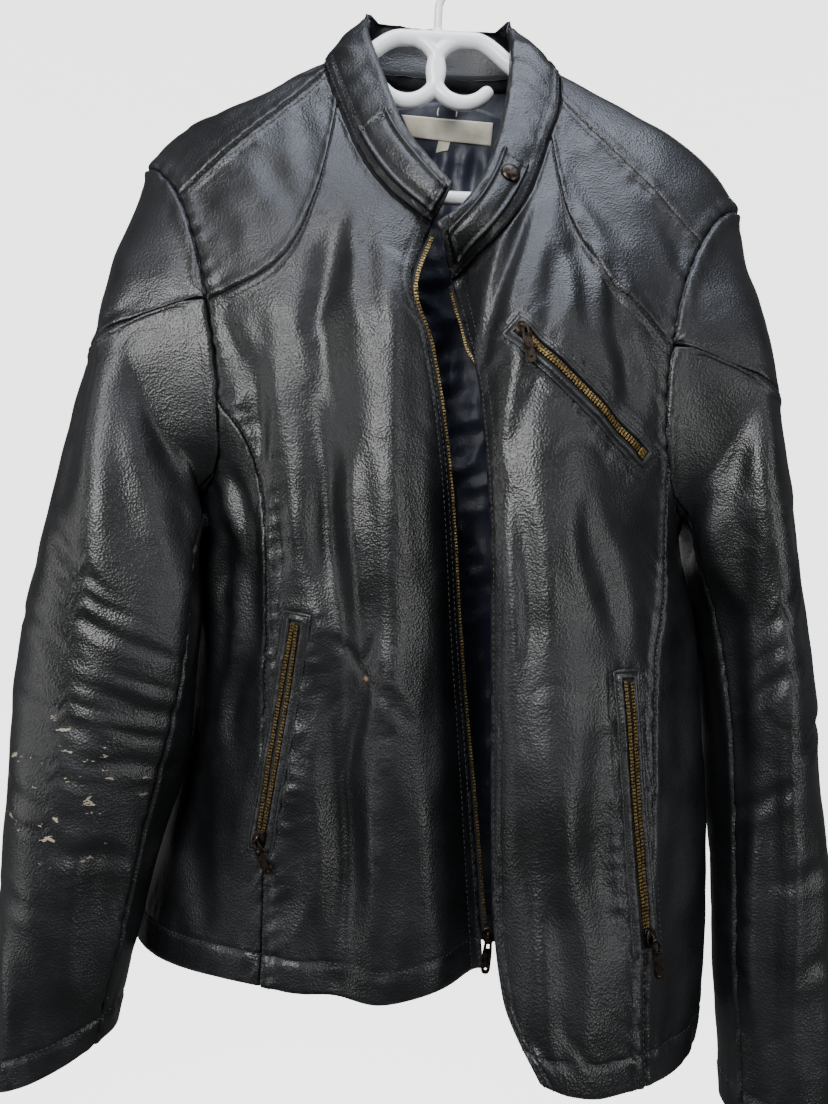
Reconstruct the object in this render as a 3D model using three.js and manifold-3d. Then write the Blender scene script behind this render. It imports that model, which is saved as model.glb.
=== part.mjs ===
// A leather jacket with an open front, hanging on a plain moulded coat hanger.
// Millimetres, +Z up, the front faces -Y, +X is the wearer's left.
// The origin is where the hanger's hook rests on its rail.
import * as THREE from 'three';
import Module from 'manifold-3d';

const wasm = await Module();
wasm.setup();

// ---------------------------------------------------------------- driving dimensions
const LEATHER = 1.6;          // wall of the garment leather
const SEAM_GAP = 0.3;         // between two sewn pieces
const ARMHOLE_GAP = 1.6;      // where sleeve and body meet at an angle
const LINING = 1.2;           // wall of the satin lining
const LINING_INSET = 10;      // from the back's outer face to the lining
const ROUNDNESS = 2.2;        // exponent of the body's superelliptic sections
const BACK_CENTRE = 10;       // middle of the back, along X
const RIDGE_DROP = 260;       // drop from the ridge that the over-shoulder coordinate 1 spans
const BODY_ROWS = 11;         // rows of facets from yoke to hem
const TUBE_RADIUS = 6.5;      // hanger tube
const HOOK_RADIUS = 3.4;      // hanger hook rod
const HOOK_INNER = 19;        // inside radius of the hook
const CURL_RADIUS = 24.7;     // centre line of each accessory curl under the hanger's neck
const PULL_LENGTH = 25;
const PULL_WIDTH = 6;
const PULL_THICKNESS = 1.4;

// Horizontal sections of the hung body, by drop below the hook's rest.
// left and right are the sides, which lie at sideY; opening is where the fronts part, and the rest
// are the depths of the quarters before and behind the sides.
const BODY_SECTIONS = [
  { drop: 60, left: -2, right: 3, sideY: 0, opening: 0, frontLeft: 2, frontRight: 2, back: 30 },
  { drop: 90, left: -50, right: 58, sideY: 0, opening: 0, frontLeft: 6, frontRight: 7, back: 42 },
  { drop: 107, left: -88, right: 97, sideY: 0, opening: 1, frontLeft: 11, frontRight: 13, back: 48 },
  { drop: 136, left: -142, right: 154, sideY: 0, opening: 2, frontLeft: 20, frontRight: 25, back: 56 },
  { drop: 164, left: -194, right: 202, sideY: 0, opening: 3, frontLeft: 31, frontRight: 38, back: 62 },
  { drop: 200, left: -223, right: 234, sideY: 0, opening: 4, frontLeft: 47, frontRight: 54, back: 68 },
  { drop: 218, left: -225, right: 243, sideY: 0, opening: 5, frontLeft: 55, frontRight: 62, back: 71 },
  { drop: 250, left: -225, right: 245, sideY: 0, opening: 6, frontLeft: 68, frontRight: 76, back: 74 },
  { drop: 312, left: -219, right: 238, sideY: 2, opening: 14, frontLeft: 88, frontRight: 102, back: 76 },
  { drop: 380, left: -200, right: 222, sideY: 8, opening: 24, frontLeft: 104, frontRight: 122, back: 72 },
  { drop: 457, left: -172, right: 207, sideY: 16, opening: 34, frontLeft: 118, frontRight: 141, back: 62 },
  { drop: 540, left: -172, right: 225, sideY: 28, opening: 42, frontLeft: 127, frontRight: 158, back: 52 },
  { drop: 620, left: -178, right: 235, sideY: 32, opening: 50, frontLeft: 128, frontRight: 167, back: 48 },
  { drop: 720, left: -191, right: 240, sideY: 26, opening: 58, frontLeft: 120, frontRight: 170, back: 52 },
  { drop: 800, left: -206, right: 236, sideY: 14, opening: 64, frontLeft: 109, frontRight: 168, back: 60 },
  { drop: 850, left: -208, right: 230, sideY: 8, opening: 66, frontLeft: 106, frontRight: 168, back: 62 },
];

// The neckline and the collar's top edge, from the left front end round the back to the right.
const NECKLINE = [
  { x: 2, drop: 254, topX: 16, topY: -74, topDrop: 226 },
  { x: -28, drop: 230, topX: -2, topY: -66, topDrop: 204 },
  { x: -53, drop: 196, topX: -22, topY: -50, topDrop: 174 },
  { x: -74, drop: 149, topX: -41, topY: -28, topDrop: 124 },
  { x: -86, drop: 118, topX: -55, topY: -8, topDrop: 82 },
  { x: -89, drop: 107, topX: -57, topY: 6, topDrop: 66 },
  { x: -72, drop: 102, topX: -46, topY: 32, topDrop: 57 },
  { x: 2, drop: 97, topX: 1, topY: 49, topDrop: 53 },
  { x: 78, drop: 101, topX: 46, topY: 34, topDrop: 58 },
  { x: 98, drop: 107, topX: 57, topY: 6, topDrop: 68 },
  { x: 97, drop: 138, topX: 58, topY: -14, topDrop: 100 },
  { x: 88, drop: 174, topX: 54, topY: -36, topDrop: 146 },
  { x: 72, drop: 226, topX: 42, topY: -63, topDrop: 203 },
  { x: 48, drop: 266, topX: 27, topY: -84, topDrop: 238 },
  { x: 19, drop: 292, topX: 7, topY: -92, topDrop: 262 },
];
const NECK_RIDGE = { left: 5, right: 9 };   // where the neckline crosses the shoulder ridge
const NECK_END = NECKLINE.length - 1;

// Each side of the jacket. Seams run downwards as front-view places; the armhole's landmarks are
// angles from the shoulder point, round by the front. Sleeve rings run from armhole to cuff; lap is
// how far a ring's front inner corner reaches over the body.
const LEFT = {
  name: 'left', sign: -1, armholeTop: 200, armholeBottom: 457, armholeReach: 44,
  shoulder: 40, yoke: 84, princess: 117, backSide: 244, backYoke: 277,
  neckFront: 0, neckYoke: 3, neckShoulder: 4,
  edge: [[2, 254], [-10, 300], [4, 341], [23, 441], [34, 543], [50, 670], [64, 790]],
  yokeSeam: [[-74, 149], [-79, 207], [-88, 248], [-100, 276], [-116, 293], [-137, 305]],
  princessSeam: [[-124, 416], [-111, 460], [-104, 506], [-103, 611], [-98, 715], [-96, 803]],
  hem: [[64, 790], [35, 793], [-20, 805], [-96, 800]],
  sideHem: 800, backSideAngle: 126, capDrop: 348, neckShare: 0.45,
  sleeve: [
    { along: 0.1, outX: -240, outDrop: 270, inX: -178, inDrop: 468, front: -70, back: 64, lap: 22 },
    { along: 0.25, outX: -255, outDrop: 362, inX: -172, inDrop: 488, front: -84, back: 52, lap: 22 },
    { along: 0.42, outX: -275, outDrop: 480, inX: -163, inDrop: 545, front: -94, back: 20, lap: 12 },
    { along: 0.6, outX: -289, outDrop: 600, inX: -164, inDrop: 630, front: -98, back: 8, lap: 0 },
    { along: 0.8, outX: -291, outDrop: 745, inX: -183, inDrop: 738, front: -98, back: 2, lap: 0 },
    { along: 1, outX: -289, outDrop: 889, inX: -203, inDrop: 848, front: -96, back: -16, lap: 0 },
  ],
};
const RIGHT = {
  name: 'right', sign: 1, armholeTop: 214, armholeBottom: 460, armholeReach: 44,
  shoulder: 46, yoke: 90, princess: 132, backSide: 244, backYoke: 277,
  neckFront: 14, neckYoke: 11, neckShoulder: 10,
  edge: [[19, 292], [28, 325], [40, 372], [51, 480], [57, 600], [63, 720], [72, 782], [95, 822]],
  yokeSeam: [[88, 174], [97, 230], [113, 266], [135, 297], [156, 315]],
  princessSeam: [[179, 450], [177, 509], [170, 565], [171, 639], [165, 765], [168, 834]],
  hem: [[95, 822], [116, 830], [140, 834], [168, 834]],
  sideHem: 834, backSideAngle: 126, capDrop: 366, neckShare: 0.4,
  sleeve: [
    { along: 0.1, outX: 254, outDrop: 278, inX: 214, inDrop: 472, front: -74, back: 66, lap: 14 },
    { along: 0.25, outX: 273, outDrop: 362, inX: 219, inDrop: 494, front: -80, back: 66, lap: 10 },
    { along: 0.42, outX: 295, outDrop: 480, inX: 230, inDrop: 552, front: -76, back: 66, lap: 0 },
    { along: 0.6, outX: 312, outDrop: 610, inX: 238, inDrop: 640, front: -76, back: 58, lap: 0 },
    { along: 0.8, outX: 328, outDrop: 756, inX: 243, inDrop: 770, front: -78, back: 30, lap: 0 },
    { along: 1, outX: 336, outDrop: 906, inX: 250, inDrop: 893, front: -78, back: 4, lap: 0 },
  ],
};
const UNDER_SLEEVE = { from: 148, to: 226 };   // angles of the two lengthwise sleeve seams

// The largest folds of the fronts: front-view start and end, half width, and depth outwards.
const FOLDS = [
  { name: 'left shoulder trough', x0: -74, drop0: 300, x1: -65, drop1: 490, width: 17, depth: -8 },
  { name: 'left chest ridge', x0: -30, drop0: 330, x1: -26, drop1: 560, width: 26, depth: 6 },
  { name: 'left hip trough', x0: -52, drop0: 600, x1: -42, drop1: 790, width: 20, depth: -11 },
  { name: 'left hip ridge', x0: -12, drop0: 590, x1: 4, drop1: 770, width: 22, depth: 5 },
  { name: 'left princess hollow', x0: -128, drop0: 450, x1: -120, drop1: 620, width: 14, depth: -4 },
  { name: 'right edge turned in', x0: 20, drop0: 300, x1: 62, drop1: 800, width: 20, depth: -34 },
  { name: 'right chest ridge', x0: 95, drop0: 330, x1: 112, drop1: 640, width: 34, depth: 6 },
];

const DEG = Math.PI / 180;
const range = (count) => Array.from({ length: count + 1 }, (_, index) => index / count);
const mix = (a, b, t) => a + (b - a) * t;

// ---------------------------------------------------------------- smooth tables
// Cubic interpolation whose slopes are limited, so that no column overshoots its rows.
function track(keys, values) {
  const slope = keys.map((key, i) => {
    const before = i > 0 ? (values[i] - values[i - 1]) / (key - keys[i - 1]) : null;
    const after = i + 1 < keys.length ? (values[i + 1] - values[i]) / (keys[i + 1] - key) : null;
    if (before === null) return after;
    if (after === null) return before;
    return before * after > 0 ? (2 * before * after) / (before + after) : 0;
  });
  return (key) => {
    let i = 0;
    while (i < keys.length - 2 && key > keys[i + 1]) i += 1;
    const span = keys[i + 1] - keys[i];
    const t = Math.min(1, Math.max(0, (key - keys[i]) / span));
    const rise = values[i + 1] - values[i];
    const ease = t * t * (3 - 2 * t);
    const start = t * (1 - t) * (1 - t) * span * slope[i];
    const end = t * t * (t - 1) * span * slope[i + 1];
    return values[i] + rise * ease + start + end;
  };
}

function tableTracks(rows, key) {
  const keys = rows.map((row) => row[key]);
  const names = Object.keys(rows[0]).filter((name) => name !== key);
  return Object.fromEntries(names.map((name) => [name, track(keys, rows.map((row) => row[name]))]));
}

const body = tableTracks(BODY_SECTIONS, 'drop');

// ---------------------------------------------------------------- the body's surface
// One quarter of a section: sign is -1 on the left and 1 on the right.
function quadrant(sign, front, drop) {
  const centre = front ? body.opening(drop) : BACK_CENTRE;
  const reach = sign < 0 ? centre - body.left(drop) : body.right(drop) - centre;
  const frontDepth = sign < 0 ? body.frontLeft(drop) : body.frontRight(drop);
  return { centre, reach, depth: front ? frontDepth : body.back(drop), sideY: body.sideY(drop) };
}

function implicit(sign, front, x, y, drop) {
  const q = quadrant(sign, front, drop);
  const across = Math.abs((x - q.centre) / q.reach);
  const deep = Math.abs((y - q.sideY) / q.depth);
  return across ** ROUNDNESS + deep ** ROUNDNESS;
}

function bodyNormal(sign, front, x, y, drop) {
  const e = 0.5;
  const value = (dx, dy, dDrop) => implicit(sign, front, x + dx, y + dy, drop + dDrop);
  const gx = value(e, 0, 0) - value(-e, 0, 0);
  const gy = value(0, e, 0) - value(0, -e, 0);
  const gz = value(0, 0, -e) - value(0, 0, e);
  return new THREE.Vector3(gx, gy, gz).normalize();
}

function foldDepth(x, drop) {
  return FOLDS.reduce((sum, fold) => {
    const along = (drop - fold.drop0) / (fold.drop1 - fold.drop0);
    const t = Math.min(1, Math.max(0, along));
    const beyond = Math.abs(along - t) * (fold.drop1 - fold.drop0) / 45;
    const across = (x - mix(fold.x0, fold.x1, t)) / fold.width;
    return sum + fold.depth * Math.exp(-across * across - beyond * beyond);
  }, 0);
}

// A point of one quarter, given by how far it lies across the section, with its normal.
function sectionPoint(sign, front, x, drop) {
  const q = quadrant(sign, front, drop);
  const ratio = Math.min(1, Math.abs((x - q.centre) / q.reach));
  const fullness = (1 - ratio ** ROUNDNESS) ** (1 / ROUNDNESS);
  const y = q.sideY + (front ? -1 : 1) * q.depth * fullness;
  const normal = bodyNormal(sign, front, x, y, drop);
  const fold = front ? foldDepth(x, drop) * Math.min(1, fullness * 2.5) : 0;
  return { point: new THREE.Vector3(x, y - fold, -drop), normal };
}

// A point of the body at angle phi: 0 front, -90 left, 90 right, 180 back.
function skin(phi, drop) {
  const sign = Math.sin(phi * DEG) < 0 ? -1 : 1;
  const front = Math.cos(phi * DEG) > 0;
  const q = quadrant(sign, front, drop);
  const x = q.centre + sign * q.reach * Math.abs(Math.sin(phi * DEG)) ** (2 / ROUNDNESS);
  return sectionPoint(sign, front, x, drop);
}

// The angle of a point that is given in front or back view.
function angleAt(x, drop, back = false) {
  const centre = back ? BACK_CENTRE : body.opening(drop);
  const sign = x < centre ? -1 : 1;
  const ratio = Math.min(1, Math.abs((x - centre) / quadrant(sign, !back, drop).reach));
  const angle = sign * Math.asin(ratio ** (ROUNDNESS / 2)) / DEG;
  return back ? sign * 180 - angle : angle;
}

const sideOf = (x, centre) => (x < centre ? -1 : 1);
const onFront = (x, drop, sign = sideOf(x, body.opening(drop))) => sectionPoint(sign, true, x, drop);
const onBack = (x, drop) => sectionPoint(sideOf(x, BACK_CENTRE), false, x, drop);

// Drop of the shoulder ridge at a place along X.
function ridgeDrop(x) {
  let low = 60;
  let high = x < 0 ? LEFT.armholeTop : RIGHT.armholeTop;
  for (let step = 0; step < 40; step += 1) {
    const middle = (low + high) / 2;
    const edge = x < 0 ? -body.left(middle) : body.right(middle);
    if (edge < Math.abs(x)) low = middle;
    else high = middle;
  }
  return high;
}

// Over the shoulder: across runs along X, over is 0 on the ridge, below 0 in front, above 0 behind.
function overShoulder(x, over) {
  const drop = ridgeDrop(x) + RIDGE_DROP * over * over;
  return over < 0 ? onFront(x, drop) : onBack(x, drop);
}
const overAt = (x, drop, back) => {
  const over = Math.sqrt(Math.max(0, drop - ridgeDrop(x)) / RIDGE_DROP);
  return back ? over : -over;
};

// ---------------------------------------------------------------- seam lines
// A place is an object { x, drop, back }.
const even = (count) => range(count);
function line(rows, fractions) {
  const keys = [0];
  rows.slice(1).forEach((row, i) => {
    keys.push(keys[i] + Math.hypot(row[0] - rows[i][0], row[1] - rows[i][1]));
  });
  const x = track(keys, rows.map((row) => row[0]));
  const drop = track(keys, rows.map((row) => row[1]));
  const total = keys[keys.length - 1];
  return fractions.map((t) => ({ x: x(t * total), drop: drop(t * total), back: false }));
}

function armhole(side, theta) {
  const turn = Math.cos(theta * DEG);
  const fore = Math.sin(theta * DEG);
  const middle = (side.armholeTop + side.armholeBottom) / 2;
  const drop = middle - (side.armholeBottom - side.armholeTop) / 2 * turn;
  const swing = side.armholeReach * Math.abs(fore) ** 0.6 * Math.sign(fore);
  const phi = side.sign * (90 - swing);
  const { point } = skin(phi, drop);
  return { x: point.x, drop, back: fore < 0, phi };
}

function armholeAngles(side) {
  const marks = [
    [0, 2], [side.shoulder, 3], [side.yoke, 2], [side.princess, 1], [UNDER_SLEEVE.from, 4],
    [UNDER_SLEEVE.to, 1], [side.backSide, 2], [side.backYoke, 4],
  ];
  return marks.flatMap(([from, count], i) => {
    const to = i + 1 < marks.length ? marks[i + 1][0] : 360;
    return range(count).slice(0, -1).map((t) => mix(from, to, t));
  });
}

// A place on the armhole, with the offset direction that body and sleeve share there.
const sewn = (side, theta) => ({ ...armhole(side, theta), seamNormal: seamNormal(side, theta) });

// Armhole places from one landmark to another, in the direction of growing angle.
function armholeRun(side, from, to) {
  const angles = armholeAngles(side);
  const all = [...angles.map((a) => a - 360), ...angles];
  return all.filter((a) => a >= from - 1e-6 && a <= to + 1e-6).map((a) => sewn(side, a));
}

const neckKeys = NECKLINE.map((_, i) => i);
const neckX = track(neckKeys, NECKLINE.map((row) => row.x));
const neckDrop = track(neckKeys, NECKLINE.map((row) => row.drop));

function neck(at) {
  const drop = neckDrop(at);
  const x = Math.min(body.right(drop), Math.max(body.left(drop), neckX(at)));
  return { x, drop, back: at > NECK_RIDGE.left && at < NECK_RIDGE.right };
}
const neckRun = (from, to, count) => range(count).map((t) => neck(mix(from, to, t)));

// ---------------------------------------------------------------- panels
// Coons patch over four boundary lines of coordinate pairs.
function patch(top, bottom, first, last, s, t, i, j) {
  return [0, 1].map((axis) => {
    const ruled = mix(top[i][axis], bottom[i][axis], t) + mix(first[j][axis], last[j][axis], s);
    const nu = top.length - 1;
    const upper = mix(top[0][axis], top[nu][axis], s);
    const lower = mix(bottom[0][axis], bottom[nu][axis], s);
    return ruled - mix(upper, lower, t);
  });
}

// How far a cell on a panel's rim draws back from its neighbour.
const rimGap = (cell) => (cell.atArmhole ? ARMHOLE_GAP : SEAM_GAP) / 2;

// The rims drawn back, square to their own lines and within the surface.
function trimmedPoints(grid) {
  const points = grid.map((row) => row.map((cell) => cell.point.clone()));
  const cellAt = ([j, i]) => grid[j][i];
  const drawBack = (rim, inside) => {
    const squares = rim.map((place, k) => {
      const before = cellAt(rim[Math.max(0, k - 1)]).point;
      const after = cellAt(rim[Math.min(rim.length - 1, k + 1)]).point;
      return after.clone().sub(before).cross(cellAt(place).normal).normalize();
    });
    const turns = squares.map((square, k) => (
      square.dot(cellAt(inside[k]).point.clone().sub(cellAt(rim[k]).point))
    ));
    const turn = Math.sign(turns.reduce((sum, value) => sum + value, 0));
    rim.forEach(([j, i], k) => points[j][i].addScaledVector(squares[k], turn * rimGap(grid[j][i])));
  };
  const column = (i) => grid.map((_, j) => [j, i]);
  const row = (j) => grid[0].map((_, i) => [j, i]);
  const [rows, columns] = [grid.length, grid[0].length];
  drawBack(column(0), column(1));
  drawBack(column(columns - 1), column(columns - 2));
  drawBack(row(0), row(1));
  drawBack(row(rows - 1), row(rows - 2));
  return points;
}

// A closed wall over a grid of outer points and inward offsets.
function wall(grid, thickness) {
  const rows = grid.length;
  const columns = grid[0].length;
  const trimmed = trimmedPoints(grid);
  const positions = [];
  trimmed.forEach((row) => row.forEach((point) => positions.push(point.x, point.y, point.z)));
  trimmed.forEach((row, j) => row.forEach((point, i) => {
    const inner = point.clone().addScaledVector(grid[j][i].normal, -thickness);
    positions.push(inner.x, inner.y, inner.z);
  }));
  const at = (j, i, layer) => layer * rows * columns + j * columns + i;
  const index = [];
  const quad = (a, b, c, d) => index.push(a, b, c, a, c, d);
  for (let j = 0; j + 1 < rows; j += 1) {
    for (let i = 0; i + 1 < columns; i += 1) {
      quad(at(j, i, 0), at(j + 1, i, 0), at(j + 1, i + 1, 0), at(j, i + 1, 0));
      quad(at(j, i, 1), at(j, i + 1, 1), at(j + 1, i + 1, 1), at(j + 1, i, 1));
    }
    quad(at(j, 0, 0), at(j, 0, 1), at(j + 1, 0, 1), at(j + 1, 0, 0));
    quad(at(j, columns - 1, 0), at(j + 1, columns - 1, 0), at(j + 1, columns - 1, 1), at(j, columns - 1, 1));
  }
  for (let i = 0; i + 1 < columns; i += 1) {
    quad(at(0, i, 0), at(0, i + 1, 0), at(0, i + 1, 1), at(0, i, 1));
    quad(at(rows - 1, i, 0), at(rows - 1, i, 1), at(rows - 1, i + 1, 1), at(rows - 1, i + 1, 0));
  }
  return solid(positions, index);
}

// A geometry whose faces point outwards, whichever way its grid ran.
function solid(positions, index) {
  let volume = 0;
  const v = (k) => new THREE.Vector3().fromArray(positions, index[k] * 3);
  for (let k = 0; k < index.length; k += 3) volume += v(k).dot(v(k + 1).cross(v(k + 2)));
  if (volume < 0) for (let k = 0; k < index.length; k += 3) index.splice(k, 3, index[k], index[k + 2], index[k + 1]);
  const geometry = new THREE.BufferGeometry();
  geometry.setAttribute('position', new THREE.Float32BufferAttribute(positions, 3));
  geometry.setIndex(index);
  return geometry;
}

const finish = (colour, roughness, metalness = 0) => (
  () => new THREE.MeshStandardMaterial({ color: colour, roughness, metalness })
);
const leather = finish(0x1b1c1e, 0.42);
const satin = finish(0x171c28, 0.5);
const plastic = finish(0xeef0f2, 0.35);
const darkMetal = finish(0x2a2622, 0.4, 0.9);
const tape = finish(0x141414, 0.85);
const labelCloth = finish(0xcfc9b8, 0.8);

const jacket = new THREE.Group();
function add(name, geometry, material, parent = jacket) {
  const mesh = new THREE.Mesh(geometry, material());
  mesh.name = name;
  parent.add(mesh);
  return mesh;
}

// A panel between four lines of places, laid on a surface. Places on the armhole carry the offset
// direction that they share with the sleeve.
function panel(name, surface, toPair, top, bottom, first, last, fractions = range(top.length - 1)) {
  const [upper, lower, before, after] = [top, bottom, first, last].map((run) => run.map(toPair));
  const nu = top.length - 1;
  const nv = first.length - 1;
  const grid = range(nv).map((t, j) => fractions.map((s, i) => {
    const [a, b] = patch(upper, lower, before, after, s, t, i, j);
    const edges = [j === 0 && top[i], i === 0 && first[j], i === nu && last[j], j === nv && bottom[i]];
    const shared = edges.find((place) => place && place.seamNormal !== undefined);
    const cell = surface(a, b);
    return shared ? { ...cell, normal: shared.seamNormal ?? cell.normal, atArmhole: true } : cell;
  }));
  add(name, wall(grid, LEATHER), leather);
  return grid;
}

const flatPair = (place) => [place.x, place.drop];
const turnPair = (place) => [place.phi ?? angleAt(place.x, place.drop, place.back), place.drop];
const overPair = (place) => [place.x, overAt(place.x, place.drop, place.back)];
const backPair = (place) => {
  if (place.psi !== undefined) return [place.psi, place.drop];
  const phi = turnPair(place)[0];
  return [phi < 0 ? -180 - phi : 180 - phi, place.drop];
};
const onTurn = (phi, drop) => skin(phi, drop);
const onBackTurn = (psi, drop) => skin(psi < 0 ? -180 - psi : 180 - psi, drop);
const joined = (...runs) => runs.flatMap((run, i) => (i ? run.slice(1) : run));

const SHOULDER_STEPS = 5;
const NECK_STEPS = 4;
const seams = [LEFT, RIGHT].map((side) => {
  const [shoulderEnd, yokeEnd, princessEnd] = [side.shoulder, side.yoke, side.princess].map((theta) => (
    sewn(side, theta)
  ));
  const steps = even(SHOULDER_STEPS);
  const neckCorner = flatPair(neck(side.neckShoulder));
  const shoulderSeam = line([neckCorner, flatPair(shoulderEnd)], steps);
  const yokeRows = [flatPair(neck(side.neckYoke)), ...side.yokeSeam.slice(1), flatPair(yokeEnd)];
  const princessRows = [flatPair(princessEnd), ...side.princessSeam];
  return {
    side,
    shoulderSeam: [...shoulderSeam.slice(0, -1), shoulderEnd],
    yokeSeam: [...line(yokeRows, steps).slice(0, -1), yokeEnd],
    princessSeam: [princessEnd, ...line(princessRows, even(BODY_ROWS)).slice(1)],
    neckFront: neckRun(side.neckFront, side.neckYoke, NECK_STEPS),
    neckYoke: neckRun(side.neckYoke, side.neckShoulder, 3),
  };
});

function backSideSeam(side) {
  const top = sewn(side, side.backSide);
  const phi = side.sign * side.backSideAngle;
  const below = range(BODY_ROWS).slice(1).map((t) => ({
    phi: mix(top.phi, phi, Math.min(1, t * 1.6)), drop: mix(top.drop, side.sideHem, t),
  }));
  return [top, ...below];
}

function front({ side, ...seam }) {
  const top = joined(seam.neckFront, seam.yokeSeam);
  const outside = joined(armholeRun(side, side.yoke, side.princess), seam.princessSeam);
  const edgeRows = [flatPair(neck(side.neckFront)), ...side.edge.slice(1)];
  const edge = line(edgeRows, even(outside.length - 1));
  const spread = (from, to, count) => range(count).map((t) => mix(from, to, t));
  const fractions = joined(
    spread(0, side.neckShare, NECK_STEPS),
    spread(side.neckShare, 1, SHOULDER_STEPS),
  );
  const hem = line(side.hem, fractions);
  const grid = panel(`front_${side.name}`, onFront, flatPair, top, hem, edge, outside, fractions);
  edgeTape(`zip_tape_${side.name}`, grid);
}

function frontYoke({ side, ...seam }) {
  const outside = armholeRun(side, side.shoulder, side.yoke);
  panel(`front_yoke_${side.name}`, onFront, flatPair, seam.shoulderSeam, seam.yokeSeam,
    [...seam.neckYoke].reverse(), outside);
}

// A straight run between two places that are given by turn and drop.
const turnLine = (from, to, count) => range(count).map((t) => (
  { phi: mix(from.phi, to.phi, t), drop: mix(from.drop, to.drop, t) }
));

function sidePanel({ side, ...seam }) {
  const top = armholeRun(side, side.princess, side.backSide);
  const outer = backSideSeam(side);
  const hemStart = seam.princessSeam[BODY_ROWS];
  const from = { phi: turnPair(hemStart)[0], drop: hemStart.drop };
  const bottom = turnLine(from, outer[BODY_ROWS], top.length - 1);
  panel(`side_panel_${side.name}`, onTurn, turnPair, top, bottom, seam.princessSeam, outer);
}

// The back yoke seam, level with the ends of the yoke seams on the sleeves.
const BACK_TOP_STEPS = SHOULDER_STEPS * 2 + 6;

function backYokeSeam() {
  const left = sewn(LEFT, LEFT.backYoke);
  const right = sewn(RIGHT, RIGHT.backYoke);
  const between = range(BACK_TOP_STEPS).slice(1, -1).map((t) => (
    { x: mix(left.x, right.x, t), drop: mix(left.drop, right.drop, t), back: true }
  ));
  return [left, ...between, right];
}

function backYoke() {
  const [left, right] = seams;
  const top = joined([...left.shoulderSeam].reverse(),
    neckRun(LEFT.neckShoulder, RIGHT.neckShoulder, 6), right.shoulderSeam);
  const leftSide = armholeRun(LEFT, LEFT.backYoke - 360, LEFT.shoulder).reverse();
  const rightSide = armholeRun(RIGHT, RIGHT.backYoke - 360, RIGHT.shoulder).reverse();
  panel('back_yoke', overShoulder, overPair, top, backYokeSeam(), leftSide, rightSide);
}

function backBody() {
  const top = joined(armholeRun(LEFT, LEFT.backSide, LEFT.backYoke), backYokeSeam(),
    armholeRun(RIGHT, RIGHT.backSide, RIGHT.backYoke).reverse());
  const left = backSideSeam(LEFT);
  const right = backSideSeam(RIGHT);
  const steps = top.length - 1;
  const [from, to] = [left[BODY_ROWS], right[BODY_ROWS]].map(backPair);
  const bottom = range(steps).map((t) => ({ psi: mix(from[0], to[0], t), drop: mix(from[1], to[1], t) }));
  panel('back_body', onBackTurn, backPair, top, bottom, left, right);
}

// ---------------------------------------------------------------- sleeves
function sleeveLine(side, theta) {
  const start = armhole(side, theta);
  const { point } = skin(start.phi, start.drop);
  const out = Math.cos(theta * DEG);
  const fore = Math.sin(theta * DEG);
  const keys = [0, ...side.sleeve.map((ring) => ring.along)];
  const overlap = fore > 0 && out < 0 ? (2 * out * fore) ** 2 : 0;
  const rings = side.sleeve.map((ring) => [
    mix(ring.inX, ring.outX, 0.5 + out / 2) - side.sign * ring.lap * overlap,
    mix(ring.back, ring.front, 0.5 + fore / 2),
    -mix(ring.inDrop, ring.outDrop, 0.5 + out / 2),
  ]);
  const values = [point.toArray(), ...rings];
  const tracks = [0, 1, 2].map((axis) => track(keys, values.map((value) => value[axis])));
  return (along) => new THREE.Vector3(...tracks.map((value) => value(along)));
}

function sleeveNormal(side, theta, along) {
  const up = sleeveLine(side, theta)(Math.min(1, along + 0.01));
  const down = sleeveLine(side, theta)(Math.max(0, along - 0.01));
  const before = sleeveLine(side, theta - 1)(along);
  const after = sleeveLine(side, theta + 1)(along);
  const normal = after.sub(before).cross(up.sub(down)).normalize();
  return side.sign > 0 ? normal : normal.negate();
}

// The direction half way between the body and the sleeve, for the walls that meet at the armhole.
// Under the arm the two face each other, and there is none.
function seamNormal(side, theta) {
  const start = armhole(side, theta);
  const bodySide = skin(start.phi, start.drop).normal;
  const sleeveSide = sleeveNormal(side, theta, 0.05);
  return bodySide.dot(sleeveSide) < 0 ? null : bodySide.add(sleeveSide).normalize();
}

function sleeveSkin(side) {
  return (theta, along) => {
    const blend = Math.min(1, along / 0.05);
    const own = sleeveNormal(side, theta, along);
    const normal = (seamNormal(side, theta) ?? own.clone()).lerp(own, blend).normalize();
    return { point: sleeveLine(side, theta)(along), normal, atArmhole: along === 0 };
  };
}

const CAP_END = 0.008;         // length along the sleeve to which the cap tapers at both ends

// How far down each lengthwise line the sleeve's yoke seam lies.
function capSeam(side, theta) {
  if (theta < side.backYoke - 360 || theta > side.yoke) return 0;
  const goal = mix(armhole(side, side.yoke).drop, side.capDrop, Math.max(0, Math.cos(theta * DEG)) ** 0.5);
  const lineAt = sleeveLine(side, theta);
  let low = 0;
  let high = 0.5;
  for (let step = 0; step < 30; step += 1) {
    const middle = (low + high) / 2;
    if (-lineAt(middle).z < goal) low = middle;
    else high = middle;
  }
  return Math.max(high, CAP_END);
}

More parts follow.
